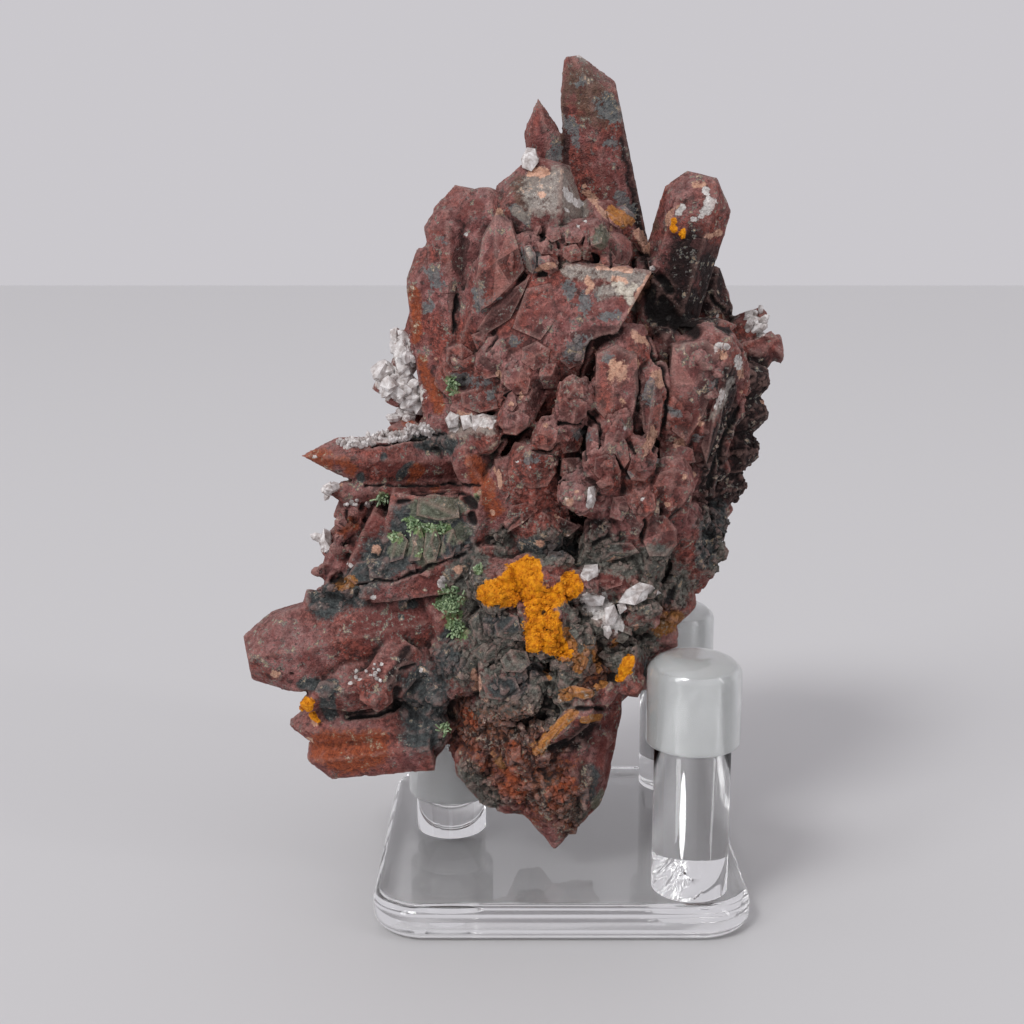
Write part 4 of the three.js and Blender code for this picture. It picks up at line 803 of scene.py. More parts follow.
def weathered(mesh, grain):
    """Breaks a smooth skin into blocks, facets and pits, and writes on its points the minerals, the painted
    shade of its hollows and its worn ridges with their painted highlight.
    """
    points = read(mesh.vertices, "co", 3)
    edges = read(mesh.edges, "vertices", 2, np.int64).T.copy()
    normals = facing(mesh, points)
    # How far each point lies below its wide surroundings, in millimetres.
    steps = (SOFTEN_GRAIN / grain) ** 2
    broad = ((softened(points, edges, round(60 * steps)) - points) * normals).sum(1) / MM

    count = len(points)
    facet, crack, step, lump, pit = (np.empty(count) for _ in range(5))
    wobble = np.empty((count, 2))
    for i, place in enumerate((points / MM).tolist()):
        place = Vector(place)
        bend = 0.6 * noise.noise_vector(place * 0.45)
        bent = place + bend
        wobble[i] = bend.x, bend.z
        distances, centres = noise.voronoi(bent / FACETS)
        tilt = noise.cell_vector(centres[0] * 7.3) - CELL_MIDDLE
        facet[i] = (bent / FACETS - centres[0]).dot(tilt) + 0.5 * (tilt.x + tilt.y)
        distances, centres = noise.voronoi(bent / BLOCKS)
        crack[i] = distances[1] - distances[0]
        tilt = noise.cell_vector(centres[0] * 5.1) - CELL_MIDDLE
        step[i] = tilt.z + 1.6 * (bent / BLOCKS - centres[0]).dot(tilt)
        lump[i] = noise.fractal(place * 0.4, 0.9, 2.0, 3)
        pit[i] = noise.noise(place * 0.85 + PITS_APART)
    amount = amounts_at(points, wobble)
    broken = np.maximum(0.12, amount["broken"])
    coarse = np.clip(amount["matrix"] + amount["rusty"], 0, 1)
    opened = (1 - share(crack, 0.01, 0.08)) * np.maximum(0.7 * broken, coarse)

    # Lumps, tilted facets and stepped blocks, then cracks, pits and corners, in millimetres.
    lift = (0.03 + 0.05 * coarse) * lump
    lift += (0.12 + 0.16 * broken) * facet
    lift += (0.2 * broken + 0.3 * coarse) * step
    lift -= 0.26 * opened
    lift -= 0.16 * share(pit, 0.42, 0.62)
    lift -= 0.2 * share(broad, 0.25, 0.9)
    # Goethite stands out in knobs, bare quartz stays smooth, and gaps are cut in.
    lift += np.minimum(1, amount["goethite"]) * (0.36 + 0.45 * lump - 0.4 * opened)
    lift *= 1 - 0.92 * share(amount["bare"], 0.35, 0.7)
    gap = share(amount["gap"], 0.25, 1)
    lift -= 0.55 * gap
    free = clear_of_caps(points)
    points = kept_inside(points + normals * (lift * free * MM)[:, None])
    normals = facing(mesh, points)

    fine = ((softened(points, edges, round(5 * steps)) - points) * normals).sum(1) / MM
    # Painted shade, deepest in hollows, cracks and gaps, and a painted highlight on worn ridges.
    hollow_shade = 0.5 * share(fine, 0.03, 0.2) + 0.7 * share(broad, 0.14, 0.8) + 0.5 * opened + 0.5 * gap
    sound = 0.95 * share(amount["bare"], 0.3, 0.6)
    crumbly = np.clip(0.3 + 0.7 * broken + 0.6 * amount["matrix"] + 0.6 * amount["rusty"], 0, 1)
    crumbly *= free * (1 - gap) * (1 - sound) * (1 - 0.6 * share(hollow_shade, 0.4, 0.9))
    write_layers(mesh, dict(amount, hollow_shade=np.minimum(1, hollow_shade), ridge_wear_and_highlight=share(-fine, 0.02, 0.16),
                            dusted=share(normals[:, 2], 0.2, 0.9), crumbly=crumbly))
    mesh.polygons.foreach_set("use_smooth", [True] * len(mesh.polygons))


# ---------------------------------------------------------------- the rock's skin
# The growth is drawn into one skin, fine on the front and coarser on the back, and cut into slices
# that meet face to face. The back runs a hair into the front, so that no gap shows between them.
FRONT_GRAIN, BACK_GRAIN = 0.36 * MM, 0.58 * MM
PARTING = 9 * MM
OVERLAP = 0.1 * MM
FRONT_CUTS = (0, 48 * MM, 68 * MM, 86 * MM, 104 * MM, 160 * MM)
BACK_CUT = 62 * MM


def one_skin(grain):
    draw = growth.modifiers.new("one_skin", "REMESH")
    draw.mode = "VOXEL"
    draw.voxel_size = grain
    bpy.context.view_layer.update()
    mesh = bpy.data.meshes.new_from_object(growth.evaluated_get(bpy.context.evaluated_depsgraph_get()))
    growth.modifiers.clear()
    return mesh


def cut_at(mesh, place, normal, name):
    """The part of the mesh behind the plane, closed where it was cut."""
    part = bmesh.new()
    part.from_mesh(mesh)
    cut = bmesh.ops.bisect_plane(part, geom=part.verts[:] + part.edges[:] + part.faces[:], dist=1e-7,
                                 plane_co=place, plane_no=normal, clear_outer=True)
    rim = [e for e in cut["geom_cut"] if isinstance(e, bmesh.types.BMEdge) and e.is_boundary]
    bmesh.ops.triangle_fill(part, use_beauty=True, use_dissolve=False, edges=rim, normal=normal)
    result = bpy.data.meshes.new(name)
    part.to_mesh(result)
    part.free()
    return result


front = cut_at(one_skin(FRONT_GRAIN), (0, PARTING + OVERLAP, 0), (0, 1, 0), "front")
back = cut_at(one_skin(BACK_GRAIN), (0, PARTING - OVERLAP, 0), (0, -1, 0), "back")
bpy.data.objects.remove(growth)
weathered(front, FRONT_GRAIN)
weathered(back, BACK_GRAIN)

rocks = []


def part_of_rock(mesh):
    rock = bpy.data.objects.new(mesh.name, mesh)
    bpy.context.scene.collection.objects.link(rock)
    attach(rock, "root")
    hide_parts("quartz_cluster")
    rocks.append(rock)


for number, (bottom, top) in enumerate(zip(FRONT_CUTS, FRONT_CUTS[1:]), start=1):
    lower = cut_at(front, (0, 0, top), (0, 0, 1), "slice")
    part_of_rock(cut_at(lower, (0, 0, bottom), (0, 0, -1), f"rock_front_{number}"))
for number, normal in enumerate([(0, 0, 1), (0, 0, -1)], start=1):
    part_of_rock(cut_at(back, (0, 0, BACK_CUT), normal, f"rock_back_{number}"))

# ---------------------------------------------------------------- sharp blocks
# The blocks stand again on the weathered crust, a little prouder, with crisp edges and flat chipped
# faces. They carry painted shade where they meet the crust and a painted highlight on their worn edges,
# and each face is painted a little lighter or darker at random, as if lit from its own side.
BLOCK_PROUD = 0.45
CHIPPED_DEEP, CHIPPED_WIDE = 0.07 * MM, 0.7 * MM
crust = BVHTree.FromPolygons([v.co.copy() for v in front.vertices],
                             [tuple(p.vertices) for p in front.polygons])


def on_crust(x, z):
    """Where the crust is met on the line from the front through (x, z), and which way it faces."""
    aim = Vector((x * MM, 0, z * MM)) - VIEW_POINT
    place, normal, _, _ = crust.ray_cast(VIEW_POINT, aim)
    return place, normal


verts, faces = [], []
for out, peak, *outline in CHUNKS:
    chunk(verts, faces, out + BLOCK_PROUD, peak, outline)
mesh = bpy.data.meshes.new("sharp_blocks")
mesh.from_pydata(verts, [], faces)
chipped = bmesh.new()
chipped.from_mesh(mesh)
bmesh.ops.triangulate(chipped, faces=chipped.faces[:])
# Painted light and shade: each face is made lighter or darker at random, as if it faced the light its own
# way.
facet_light_shade = chipped.faces.layers.float.new("facet_light_shade")
for face in chipped.faces:
    face[facet_light_shade] = chance.uniform(-1, 1)
bmesh.ops.subdivide_edges(chipped, edges=chipped.edges[:], cuts=3, use_grid_fill=True)
edge_line = np.array([max((edge.calc_face_angle_signed(0) for edge in vert.link_edges), default=0)
                      for vert in chipped.verts])
for vert in chipped.verts:
    vert.co += CHIPPED_DEEP * noise.noise_vector(vert.co / CHIPPED_WIDE)
chipped.to_mesh(mesh)
chipped.free()
points = kept_inside(np.array([v.co for v in mesh.vertices]))
normals = facing(mesh, points)
above = np.empty(len(points))
for i, point in enumerate(points):
    nearest, normal, _, _ = crust.find_nearest(point)
    above[i] = (Vector(point) - nearest).dot(normal) / MM
# Painted shade where a block meets the crust, and a painted highlight on its worn edges.
write_layers(mesh, dict(amounts_at(points, 0), hollow_shade=0.8 - 0.8 * share(above, -0.2, 0.3),
                        ridge_wear_and_highlight=share(edge_line, 0.3, 0.8) * share(above, 0, 0.3),
                        dusted=share(normals[:, 2], 0.2, 0.9)))
part_of_rock(mesh)

# ---------------------------------------------------------------- flakes and crumbs on the crust
# Sharp-cornered flakes and crumbs are cemented to the skin, thick where it is broken and rare on sound
# faces. Each is a little block of eight corners, half sunk, in the colours of what it sits on.
CRUMB_FACES = np.array([(3, 2, 1, 0), (0, 1, 5, 4), (1, 2, 6, 5), (2, 3, 7, 6), (3, 0, 4, 7), (4, 5, 6, 7)])
CRUMB_CORNERS = np.array([(-1, -1, -1), (1, -1, -1), (1, 1, -1), (-1, 1, -1),
                          (-1, -1, 1), (1, -1, 1), (1, 1, 1), (-1, 1, 1)]) * 0.5
# Faces from this area up are where the skin was cut, and carry none.
CUT_FACE = 1 * MM * MM


def crumbs(skin, name, number, seed, size, thick, lean, wanted):
    """Crumbs set on the skin: their usual size, how thick they are for it, their lean, and where they go."""
    draw = np.random.default_rng(seed)
    area = read(skin.polygons, "area")
    first = read(skin.polygons, "loop_start", kind=np.int64)
    corner = read(skin.loops, "vertex_index", kind=np.int64)[first]
    on_skin = {layer.name: read(layer.data, "value", kind=np.float32)[corner]
               for layer in skin.attributes if layer.data_type == "FLOAT" and layer.domain == "POINT"}
    chosen_by = area * wanted(on_skin) * on_skin["crumbly"] * (area < CUT_FACE)
    picks = draw.choice(len(area), number, p=chosen_by / chosen_by.sum())
    centre = read(skin.polygons, "center", 3)[picks]
    up = read(skin.polygons, "normal", 3)[picks]

    size = np.minimum(size * draw.lognormal(0, 0.34, number), 2 * size)
    up = up + draw.normal(0, lean, (number, 3))
    up /= np.linalg.norm(up, axis=1)[:, None]
    side = np.cross(up, draw.normal(0, 1, (number, 3)))
    side /= np.linalg.norm(side, axis=1)[:, None]
    across = np.cross(up, side)
    corners = CRUMB_CORNERS * (1 + draw.uniform(-0.3, 0.3, (number, 8, 3)))
    corners[:, 4:, :2] *= draw.uniform(0.5, 0.95, (number, 1, 1))
    corners *= draw.uniform(0.65, 1.45, (number, 1, 3)) * size[:, None, None]
    corners[:, :, 2] *= thick
    points = centre[:, None, :]
    for axis, way in enumerate((side, across, up)):
        points = points + corners[:, :, axis:axis + 1] * way[:, None, :]
    quads = (CRUMB_FACES[None] + 8 * np.arange(number)[:, None, None]).reshape(-1, 4)
    mesh = bpy.data.meshes.new(name)
    mesh.from_pydata(kept_inside(points.reshape(-1, 3)), [], quads)

    # The lower four corners carry painted shade where they are set in, and the upper four are worn pale with
    # a painted highlight.
    layers = {layer: np.repeat(values[picks], 8) for layer, values in on_skin.items()}
    layers["ridge_wear_and_highlight"] = np.tile([0, 0, 0, 0, 0.8, 0.8, 0.8, 0.8], number) * draw.uniform(0, 1, number).repeat(8)
    layers["hollow_shade"] = 0.6 * layers["hollow_shade"] + np.tile([0.7, 0.7, 0.7, 0.7, 0, 0, 0, 0], number)
    write_layers(mesh, layers)
    mesh.polygons.foreach_set("use_smooth", [False] * len(mesh.polygons))
    part_of_rock(mesh)


def where_broken(layers):
    other = layers["goethite"] + layers["olive"] + layers["bare"]
    return np.clip(layers["broken"] - 0.2, 0, 1) * (1 - np.clip(other, 0, 1))


def in_matrix(layers):
    return np.clip(layers["matrix"] + layers["rusty"] - 0.3, 0, 1) * (1 - np.clip(layers["goethite"], 0, 1))


def in_goethite(layers):
    return np.clip(2 * layers["goethite"] - 0.6, 0, 1)


crumbs(front, "flakes_front", 700, 11, 0.7 * MM, 0.45, 0.2, where_broken)
crumbs(back, "flakes_back", 900, 12, 1 * MM, 0.45, 0.2, where_broken)
crumbs(front, "crumbs_front", 1000, 13, 0.8 * MM, 0.5, 0.2, in_matrix)
crumbs(front, "goethite_grains", 700, 14, 0.34 * MM, 0.8, 0.3, in_goethite)

# ---------------------------------------------------------------- the crust's finish
# Dusty iron oxide over quartz. Each mineral is laid over the last where its layer and a noise agree,
# so that its edge is ragged; bare and white quartz are glossier than the crust.
stain, nodes, links = plain_material("iron_stained_quartz")
shader = nodes["Principled BSDF"]
shader.inputs["Specular IOR Level"].default_value = 0.28
place = nodes.new("ShaderNodeTexCoord").outputs["Object"]


def paint(red, green, blue):
    """A colour from its everyday 0 to 255 values."""
    return tuple(((c / 255) / 12.92 if c < 11 else ((c / 255 + 0.055) / 1.055) ** 2.4)
                 for c in (red, green, blue)) + (1,)


def grain_noise(size, detail=4, roughness=0.6, seed=0):
    texture = nodes.new("ShaderNodeTexNoise")
    texture.noise_dimensions = "4D"
    texture.inputs["W"].default_value = seed
    texture.inputs["Scale"].default_value = 1 / (size * MM)
    texture.inputs["Detail"].default_value = detail
    texture.inputs["Roughness"].default_value = roughness
    links.new(place, texture.inputs["Vector"])
    return texture.outputs["Fac"]


def joined_up(sockets, values):
    """Gives each socket its value, or joins it to the socket that it is handed."""
    for socket, value in zip(sockets, values):
        if isinstance(value, (int, float, tuple)):
            socket.default_value = value
        else:
            links.new(value, socket)


def combined(kind, a, b):
    node = nodes.new("ShaderNodeMath")
    node.operation = kind
    joined_up(node.inputs[:2], (a, b))
    return node.outputs[0]


def blended(amount, a, b, kind="MIX"):
    node = nodes.new("ShaderNodeMix")
    node.data_type = "RGBA"
    node.blend_type = kind
    joined_up((node.inputs[0], node.inputs[6], node.inputs[7]), (amount, a, b))
    return node.outputs[2]


def warped_place(bend, size):
    """The place, pushed about by a noise, so that cells drawn there have uneven edges."""
    texture = nodes.new("ShaderNodeTexNoise")
    texture.inputs["Scale"].default_value = 1 / (size * MM)
    texture.inputs["Detail"].default_value = 3
    links.new(place, texture.inputs["Vector"])
    push = nodes.new("ShaderNodeVectorMath")
    push.operation = "MULTIPLY_ADD"
    links.new(texture.outputs["Color"], push.inputs[0])
    push.inputs[1].default_value = (bend * MM,) * 3
    links.new(place, push.inputs[2])
    return push.outputs["Vector"]


uneven = warped_place(2.2, 1.6)


def cell_texture(size, feature="F1", where=place):
    texture = nodes.new("ShaderNodeTexVoronoi")
    texture.feature = feature
    texture.inputs["Scale"].default_value = 1 / (size * MM)
    links.new(where, texture.inputs["Vector"])
    return texture.outputs


def layer_value(name):
    attribute = nodes.new("ShaderNodeAttribute")
    attribute.attribute_name = name
    return attribute.outputs["Fac"]


def ranged(value, low, high, to_low=0.0, to_high=1.0):
    """The value, stretched so that low becomes to_low and high becomes to_high, and held there."""
    node = nodes.new("ShaderNodeMapRange")
    for name, number in (("From Min", low), ("From Max", high), ("To Min", to_low), ("To Max", to_high)):
        node.inputs[name].default_value = number
    links.new(value, node.inputs["Value"])
    return node.outputs["Result"]


broad_noise = grain_noise(8, 3, 0.55, 1)
middle_noise = grain_noise(2.4, 5, 0.65, 2)
small_noise = grain_noise(0.8, 4, 0.7, 3)
dust_noise = grain_noise(0.3, 2, 0.7, 4)
flake = cell_texture(1.5, where=uneven)["Color"]
chip = cell_texture(0.7, where=uneven)["Color"]

mauve = blended(ranged(middle_noise, 0.42, 0.58), paint(138, 81, 78), paint(186, 131, 126))
brick = blended(ranged(small_noise, 0.42, 0.58), paint(110, 58, 52), paint(182, 97, 83))
colour = blended(ranged(broad_noise, 0.42, 0.58), mauve, brick)
colour = blended(ranged(grain_noise(1.6, 4, 0.7, 8), 0.56, 0.62, 0, 0.8), colour, paint(66, 48, 46))
colour = blended(ranged(grain_noise(1.9, 4, 0.75, 11), 0.6, 0.64, 0, 0.75), colour, paint(116, 112, 108))
colour = blended(0.5, colour, ranged(flake, 0.1, 0.9, 0.35, 1.0), "MULTIPLY")
colour = blended(0.42, colour, ranged(chip, 0.1, 0.9, 0.3, 1.25), "MULTIPLY")
colour = blended(ranged(grain_noise(0.7, 3, 0.8, 14), 0.6, 0.64, 0, 0.7), colour, paint(52, 34, 34))
colour = blended(ranged(grain_noise(0.9, 3, 0.8, 15), 0.62, 0.66, 0, 0.6), colour, paint(176, 150, 142))
# Painted light and shade on the sharp blocks' faces, lighter or darker at random.
colour = blended(ranged(layer_value("facet_light_shade"), 0.1, 1, 0, 0.34), colour, paint(206, 148, 136))
colour = blended(ranged(layer_value("facet_light_shade"), -0.1, -1, 0, 0.5), colour, paint(58, 34, 33))
dusty = combined("MULTIPLY", layer_value("dusted"), ranged(small_noise, 0.4, 0.6, 0.15, 0.7))
colour = blended(dusty, colour, paint(160, 128, 124))


def laid(colour, mineral, light, dark, edge=0.25, ragged=1.0, strength=1.0, mix=(0.36, 0.64)):
    """Lays a mineral over the colour. Its own colour runs from dark to light by a small noise."""
    noisy = combined("ADD", layer_value(mineral), ranged(small_noise, 0.3, 0.7, -0.3 * ragged, 0.3 * ragged))
    noisy = combined("ADD", noisy, ranged(middle_noise, 0.3, 0.7, -0.34 * ragged, 0.34 * ragged))
    amount = ranged(noisy, 0.5 - edge / 2, 0.5 + edge / 2, 0, strength)
    tint = blended(ranged(small_noise, *mix), paint(*dark), paint(*light))
    return blended(amount, colour, tint), amount


# From the lowest up: the light and the dark colour, how soft and how ragged the edge is, the strength,
# and where the two colours meet. What isn't given is as usual.
LAID = {
    "red_face": ((134, 74, 68), (96, 44, 40), 0.5, 0.9, 0.85),
    "umber": ((116, 92, 74), (66, 52, 45), 0.5, 1.3, 0.8),
    # Painted shade: shade strokes, and faces turned from the light.
    "shade": ((44, 24, 24), (22, 13, 13), 0.6),
    "shaded_face": ((96, 60, 57), (60, 36, 35), 0.15, 0.5, 0.85),
    "matrix": ((133, 131, 121), (54, 55, 52), 0.4, 1.3),
    "blue_grey": ((92, 97, 96), (42, 47, 49), 0.4, 0.9),
    "rusty": ((142, 74, 38), (50, 40, 37), 0.5, 1.5, 0.85, (0.44, 0.58)),
    "olive": ((130, 134, 114), (82, 86, 72), 0.3, 1.0, 0.9),
    "grey_green": ((128, 134, 134), (82, 88, 90), 0.2, 2.6, 0.85),
    "orange_red": ((178, 88, 48), (118, 56, 38), 0.5, 1.1, 0.92),
    "ochre": ((186, 126, 66), (116, 76, 40), 0.2, 1.2),
    "amber": ((214, 146, 76), (158, 98, 44), 0.2, 0.7),
    "epidote": ((140, 168, 110), (62, 84, 54), 0.3, 1.6),
    "bare": ((156, 148, 138), (112, 102, 95), 0.5, 1.5, 0.9),
    "salmon": ((222, 176, 150), (178, 128, 106), 0.3, 1.4),
    "cream": ((206, 196, 180), (170, 158, 144), 0.3, 1.0),
    # White quartz, and painted glints on shiny faces.
    "white": ((232, 228, 224), (182, 174, 170), 0.15, 1.0),
}
lies = {}
for mineral, look in LAID.items():
    colour, lies[mineral] = laid(colour, mineral, *look)

fleck = combined("MULTIPLY", ranged(cell_texture(0.75)["Distance"], 0.22, 0.16),
                 ranged(middle_noise, 0.52, 0.6))
fleck = combined("MULTIPLY", fleck, ranged(lies["shade"], 0, 1, 1, 0.2))
colour = blended(combined("MULTIPLY", fleck, 0.65), colour, paint(168, 150, 142))
# Worn pale edges, partly a painted highlight.
colour = blended(combined("MULTIPLY", layer_value("ridge_wear_and_highlight"), 0.36), colour, paint(190, 150, 140))
colour = blended(ranged(dust_noise, 0.32, 0.62, 0.36, 0), colour, (0.004, 0.003, 0.003, 1))
# Painted shade in hollows, cracks, gaps and where pieces are set in.
colour = blended(combined("MULTIPLY", layer_value("hollow_shade"), 0.9), colour, paint(18, 12, 11))
colour, golden = laid(colour, "goethite", (252, 168, 0), (200, 112, 0), 0.12, 0.6, 0.95)
# Painted shade: goethite is painted a deeper orange in its hollows.
goethite_crevice_shade = combined("MULTIPLY", golden, combined("MULTIPLY", layer_value("hollow_shade"), 0.75))
colour = blended(goethite_crevice_shade, colour, paint(104, 48, 0))
# Painted shade: the gaps are painted near-black.
colour = blended(ranged(layer_value("gap"), 0.35, 0.95, 0, 0.92), colour, paint(16, 10, 10))
links.new(colour, shader.inputs["Base Color"])

spark = ranged(cell_texture(0.4)["Color"], 0.9, 0.92)
polished = combined("MAXIMUM", combined("MULTIPLY", lies["bare"], 0.9),
                    combined("MULTIPLY", lies["white"], 0.55))
rough_value = ranged(small_noise, 0.3, 0.7, 0.9, 0.62)
rough_value = combined("SUBTRACT", rough_value, combined("MULTIPLY", polished, 0.62))
rough_value = combined("SUBTRACT", rough_value, combined("MULTIPLY", spark, 0.35))
links.new(combined("MAXIMUM", rough_value, 0.12), shader.inputs["Roughness"])

height = combined("ADD", combined("MULTIPLY", cell_texture(0.5, where=uneven)["Distance"], -0.4), dust_noise)
height = combined("ADD", height, combined("MULTIPLY", ranged(flake, 0, 1), 0.5))
height = combined("MULTIPLY", height, combined("SUBTRACT", 1, combined("MULTIPLY", polished, 0.9)))
bump = nodes.new("ShaderNodeBump")
bump.inputs["Strength"].default_value = 1
bump.inputs["Distance"].default_value = 0.34 * MM
links.new(height, bump.inputs["Height"])
links.new(bump.outputs["Normal"], shader.inputs["Normal"])
for rock in rocks:
    rock.data.materials.clear()
    rock.data.materials.append(stain)

# ---------------------------------------------------------------- white quartz and green epidote
# Clean white quartz that grew last: clusters of small sharp crystals and a few broken pieces. Epidote
# grew beside it as bundles of thin green blades. Both stand on the crust, rooted in it.
# Small crystals: (x, z, half width, half height, number, usual size, the way they point).
DRUSES = [
    (-27, 83, 2, 1.4, 9, 1.4, (-0.8, -0.5, -0.1)), (-26.8, 93, 1.5, 3.6, 10, 1.6, (-0.4, -0.3, 1)),
    (-29, 88, 2.2, 2.4, 12, 1.6, (-1, -0.3, 0.3)), (-36, 77.7, 3, 0.5, 40, 0.75, (-0.1, -0.5, 1)),
    (-30, 78.8, 4, 0.7, 60, 0.8, (0, -0.5, 1)), (-25, 80, 2.4, 0.9, 34, 0.9, (-0.1, -0.5, 1)),
    (-41.4, 61.6, 1, 3.6, 22, 1.5, (-1, -0.4, 0.2)), (-40.2, 69.4, 0.8, 0.6, 4, 1.8, (-0.6, -0.4, -0.5)),
    (-35.4, 67.2, 2.4, 0.5, 8, 1.0, (-0.2, -0.8, 0.4)), (33.4, 99, 1.6, 1.6, 14, 1.3, (0.5, -0.6, 0.8)),
    (-34.6, 36, 2.4, 1.6, 9, 0.7, (-0.1, -1, 0.3)), (-20.6, 52.6, 0.5, 0.8, 3, 1.1, (-0.3, -0.8, 0.6)),
    (27.6, 94.4, 1.4, 0.6, 4, 0.9, (0.2, -0.7, 0.9)),
]
# Knobbly lobes: (x, z, half width, half height, number, usual size, how far they stand out).
WHITE_LOBES = [
    (-26.8, 93, 1, 3.4, 16, 2.6, 1.8), (-28.6, 88.6, 2, 1.6, 16, 2.6, 2),
    (-26.4, 86.6, 1.8, 2.8, 20, 2.4, 1.4),
]
# Broken pieces, given as the blocks above are.
WHITE_PIECES = [
    (2.3, (14.8, 51), (10.5, 48.9), (12, 51.3), (14.4, 52.8), (16.7, 52.2), (18.3, 50.7), (16, 49.7),
     (13.6, 48.4)),
    (1.7, (9.2, 46.6), (8.2, 48), (10, 48.7), (10.8, 46.6), (10, 44.6), (8.5, 44.8)),
    (1.6, (8.8, 43.6), (8, 44.6), (9.2, 45), (9.7, 43.4), (9, 42.1), (8.2, 42.8)),
    (1.7, (5.4, 54.6), (3.8, 54), (4.6, 55.9), (7, 56.1), (7.1, 54), (5.2, 52.8)),
    (1.5, (11.2, 47.9), (10.4, 48.6), (11.8, 49.2), (12.3, 47.8), (11, 46.7)),
    (1.4, (6.4, 49.6), (4, 49.6), (6, 51), (8.4, 50), (8, 48.4), (5.4, 48.2)),
    (1.4, (-18.8, 81.8), (-20, 82), (-19, 83.4), (-17.5, 82.6), (-17.7, 80.6), (-19.4, 80.4)),
    (1.6, (-13.2, 81.2), (-15.4, 82.4), (-13.4, 83), (-11.4, 82.4), (-11.6, 79.6), (-13.6, 78.8),
     (-15.2, 80.2)),
    (1.3, (-16.2, 81.6), (-17.4, 82.6), (-15.6, 82.8), (-15.3, 80.6), (-16.8, 80)),
    (1.4, (5.8, 68.4), (5.1, 70), (6.2, 70.2), (6.5, 67.8), (5.7, 66.4), (4.8, 67.2)),
    (2.1, (-5.4, 126), (-6.8, 126), (-5.8, 127.8), (-4.4, 127.6), (-3.8, 125.4), (-5, 123.8),
     (-6.6, 124.4)),
    (1.7, (-40.6, 69.6), (-41.6, 70.2), (-40.2, 71), (-39.4, 69.8), (-40.4, 68.2), (-41.4, 68.8)),
    (1.8, (-41.4, 60.4), (-42.4, 60.6), (-41.6, 62.6), (-40.4, 62), (-40.4, 58.8), (-41.6, 58)),
]


def stood_on_crust(name, verts, faces, material):
    piece = new_piece(name, kept_inside(np.array(verts)), faces, smooth=False)
    piece.data.materials.append(material)
    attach(piece, "root")
    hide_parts("quartz_cluster")


LOBES_LEAN = Vector((-0.6, -0.3, 0.2))
verts, faces = [], []
for x, z, half_x, half_z, number, size, way in DRUSES:
    for place, normal in places_around(x, z, half_x, half_z, number, on_crust, PARTING):
        axis = Vector(way).normalized() + 0.5 * normal + shaken(0.28)
        small_crystal(verts, faces, place, axis.normalized(), MM * size * chance.uniform(0.6, 1.15),
                      slender=chance.uniform(1.0, 1.7))
for x, z, half_x, half_z, number, size, out in WHITE_LOBES:
    for place, normal in places_around(x, z, half_x, half_z, number, on_crust, PARTING):
        away = (normal + LOBES_LEAN).normalized()
        boulder(verts, faces, place + MM * out * chance.uniform(-0.3, 1) * away, away,
                MM * size * chance.uniform(0.7, 1.2), tall=chance.uniform(0.9, 1.4), deep=0.9,
                turn=chance.uniform(-1, 1), corners=18)
for out, peak, *outline in WHITE_PIECES:
    chunk(verts, faces, out, peak, outline, on_crust)

white_quartz, nodes, links = plain_material("white_quartz")
shader = nodes["Principled BSDF"]
place = nodes.new("ShaderNodeTexCoord").outputs["Object"]
cloudy = grain_noise(1.1, 3, 0.6, 21)
tint = blended(ranged(cloudy, 0.4, 0.62), paint(176, 166, 162), paint(242, 238, 236))
tint = blended(ranged(grain_noise(0.6, 3, 0.7, 22), 0.6, 0.7, 0, 0.55), tint, paint(150, 112, 98))
links.new(tint, shader.inputs["Base Color"])
shader.inputs["IOR"].default_value = 1.545
shader.inputs["Transmission Weight"].default_value = 0.12
links.new(ranged(cloudy, 0.35, 0.65, 0.42, 0.16), shader.inputs["Roughness"])
worn = nodes.new("ShaderNodeBump")
worn.inputs["Strength"].default_value = 0.3
worn.inputs["Distance"].default_value = 0.15 * MM
links.new(grain_noise(0.35, 3, 0.6, 23), worn.inputs["Height"])
links.new(worn.outputs["Normal"], shader.inputs["Normal"])
stood_on_crust("white_quartz_crystals", verts, faces, white_quartz)

# Bundles of blades: (x, z, half width, half height, number).
EPIDOTE = [
    (-19.2, 49.4, 1.5, 2, 150), (-20.8, 48.4, 1, 1, 40), (-18.4, 44.4, 1, 1.6, 60), (-29, 61, 1, 0.6, 22),
    (-25.6, 63, 1.4, 1.3, 34), (-21.6, 62.4, 1.8, 0.8, 40), (-31.2, 67.8, 1, 0.8, 22),
    (-20.6, 25.4, 0.9, 0.9, 16), (-14.2, 54.8, 0.7, 0.6, 14), (-18.8, 88, 0.8, 1.2, 24),
    (-24.6, 58, 0.6, 0.8, 12),
]


def bunched():
    return chance.gauss(0, 0.55)


verts, faces = [], []
for x, z, half_x, half_z, number in EPIDOTE:
    for place, normal in places_around(x, z, half_x, half_z, number, on_crust, PARTING, bunched):
        axis = normal + shaken(0.5)
        small_crystal(verts, faces, place, axis.normalized(), MM * chance.uniform(0.24, 0.5),
                      slender=chance.uniform(1.6, 3.2))
epidote, nodes, links = plain_material("green_epidote")
shader = nodes["Principled BSDF"]
place = nodes.new("ShaderNodeTexCoord").outputs["Object"]
leafy = grain_noise(0.7, 3, 0.6, 31)
green = blended(ranged(leafy, 0.38, 0.62), paint(80, 108, 70), paint(170, 190, 148))
links.new(green, shader.inputs["Base Color"])
links.new(ranged(leafy, 0.35, 0.65, 0.55, 0.3), shader.inputs["Roughness"])
shader.inputs["IOR"].default_value = 1.7
stood_on_crust("green_epidote_blades", verts, faces, epidote)

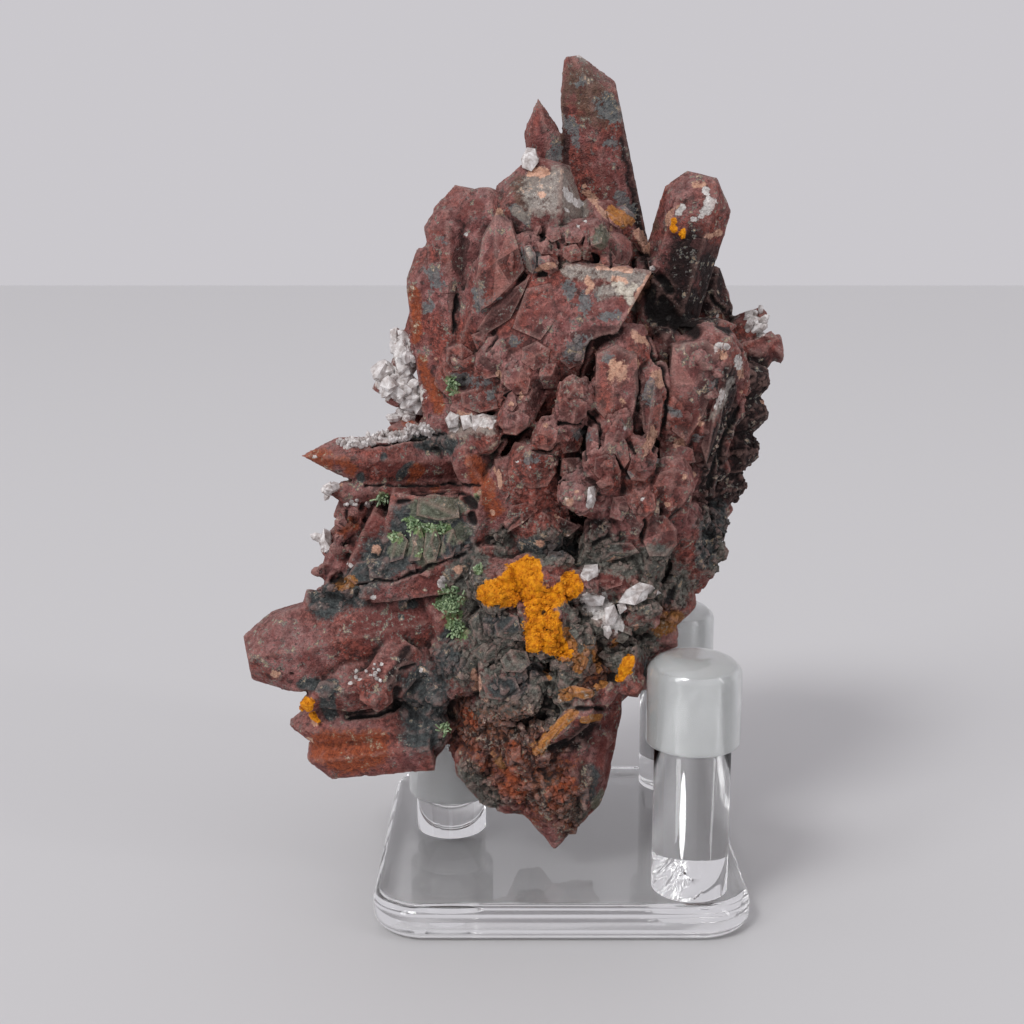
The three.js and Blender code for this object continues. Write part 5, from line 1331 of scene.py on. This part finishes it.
# ---------------------------------------------------------------- floor, light and camera
# A plain pale floor a hair below the plate, a broad sun from the upper left, and two soft lights that
# draw the edges of the clear stand. The camera has a normal lens and looks down a little.
FLOOR = -0.1 * MM
floor = new_piece("floor", [(-3, -3, FLOOR), (3, -3, FLOOR), (3, 3, FLOOR), (-3, 3, FLOOR)], [(0, 1, 2, 3)])
paint_coat, nodes, links = plain_material("plain_pale_floor")
nodes["Principled BSDF"].inputs["Base Color"].default_value = (0.6, 0.595, 0.6, 1)
nodes["Principled BSDF"].inputs["Roughness"].default_value = 0.6
floor.data.materials.append(paint_coat)

world = bpy.data.worlds.new("studio")
bpy.context.scene.world = world
world.use_nodes = True
world.node_tree.nodes["Background"].inputs["Color"].default_value = (0.80, 0.78, 0.82, 1)
world.node_tree.nodes["Background"].inputs["Strength"].default_value = 0.74

key = bpy.data.lights.new("key_from_upper_left", "SUN")
key.energy = 1.15
key.angle = math.radians(14)
key_light = bpy.data.objects.new("key_from_upper_left", key)
key_light.rotation_euler = Vector((0.45, 0.62, -0.8)).to_track_quat("-Z", "Y").to_euler()
bpy.context.scene.collection.objects.link(key_light)


def soft_light(name, place, aim, size, power):
    lamp = bpy.data.lights.new(name, "AREA")
    lamp.shape = "RECTANGLE"
    lamp.size, lamp.size_y = size
    lamp.energy = power
    light = bpy.data.objects.new(name, lamp)
    light.location = place
    light.rotation_euler = (Vector(aim) - Vector(place)).to_track_quat("-Z", "Y").to_euler()
    bpy.context.scene.collection.objects.link(light)


soft_light("window_left", (-1.1, -0.9, 0.9), (0, 0, 0.05), (0.35, 0.9), 5)
soft_light("strip_right", (1.0, -0.5, 0.5), (0, 0, 0.05), (0.12, 0.8), 1.5)

scene = bpy.context.scene
scene.view_settings.view_transform = "Standard"
scene.cycles.max_bounces = 32
scene.cycles.transmission_bounces = 32
scene.cycles.glossy_bounces = 32
SENSOR_WIDTH = 36
FOCAL_PIXELS, PICTURE_PIXELS = 1378, 1024
LOOKS_DOWN = 11.34
camera = bpy.data.objects.new("camera", bpy.data.cameras.new("camera"))
camera.data.lens = SENSOR_WIDTH * FOCAL_PIXELS / PICTURE_PIXELS
camera.data.sensor_width = SENSOR_WIDTH
camera.data.clip_start = 0.01
camera.location = VIEW_POINT
camera.rotation_euler = (math.radians(90 - LOOKS_DOWN), 0, 0)
scene.collection.objects.link(camera)
scene.camera = camera
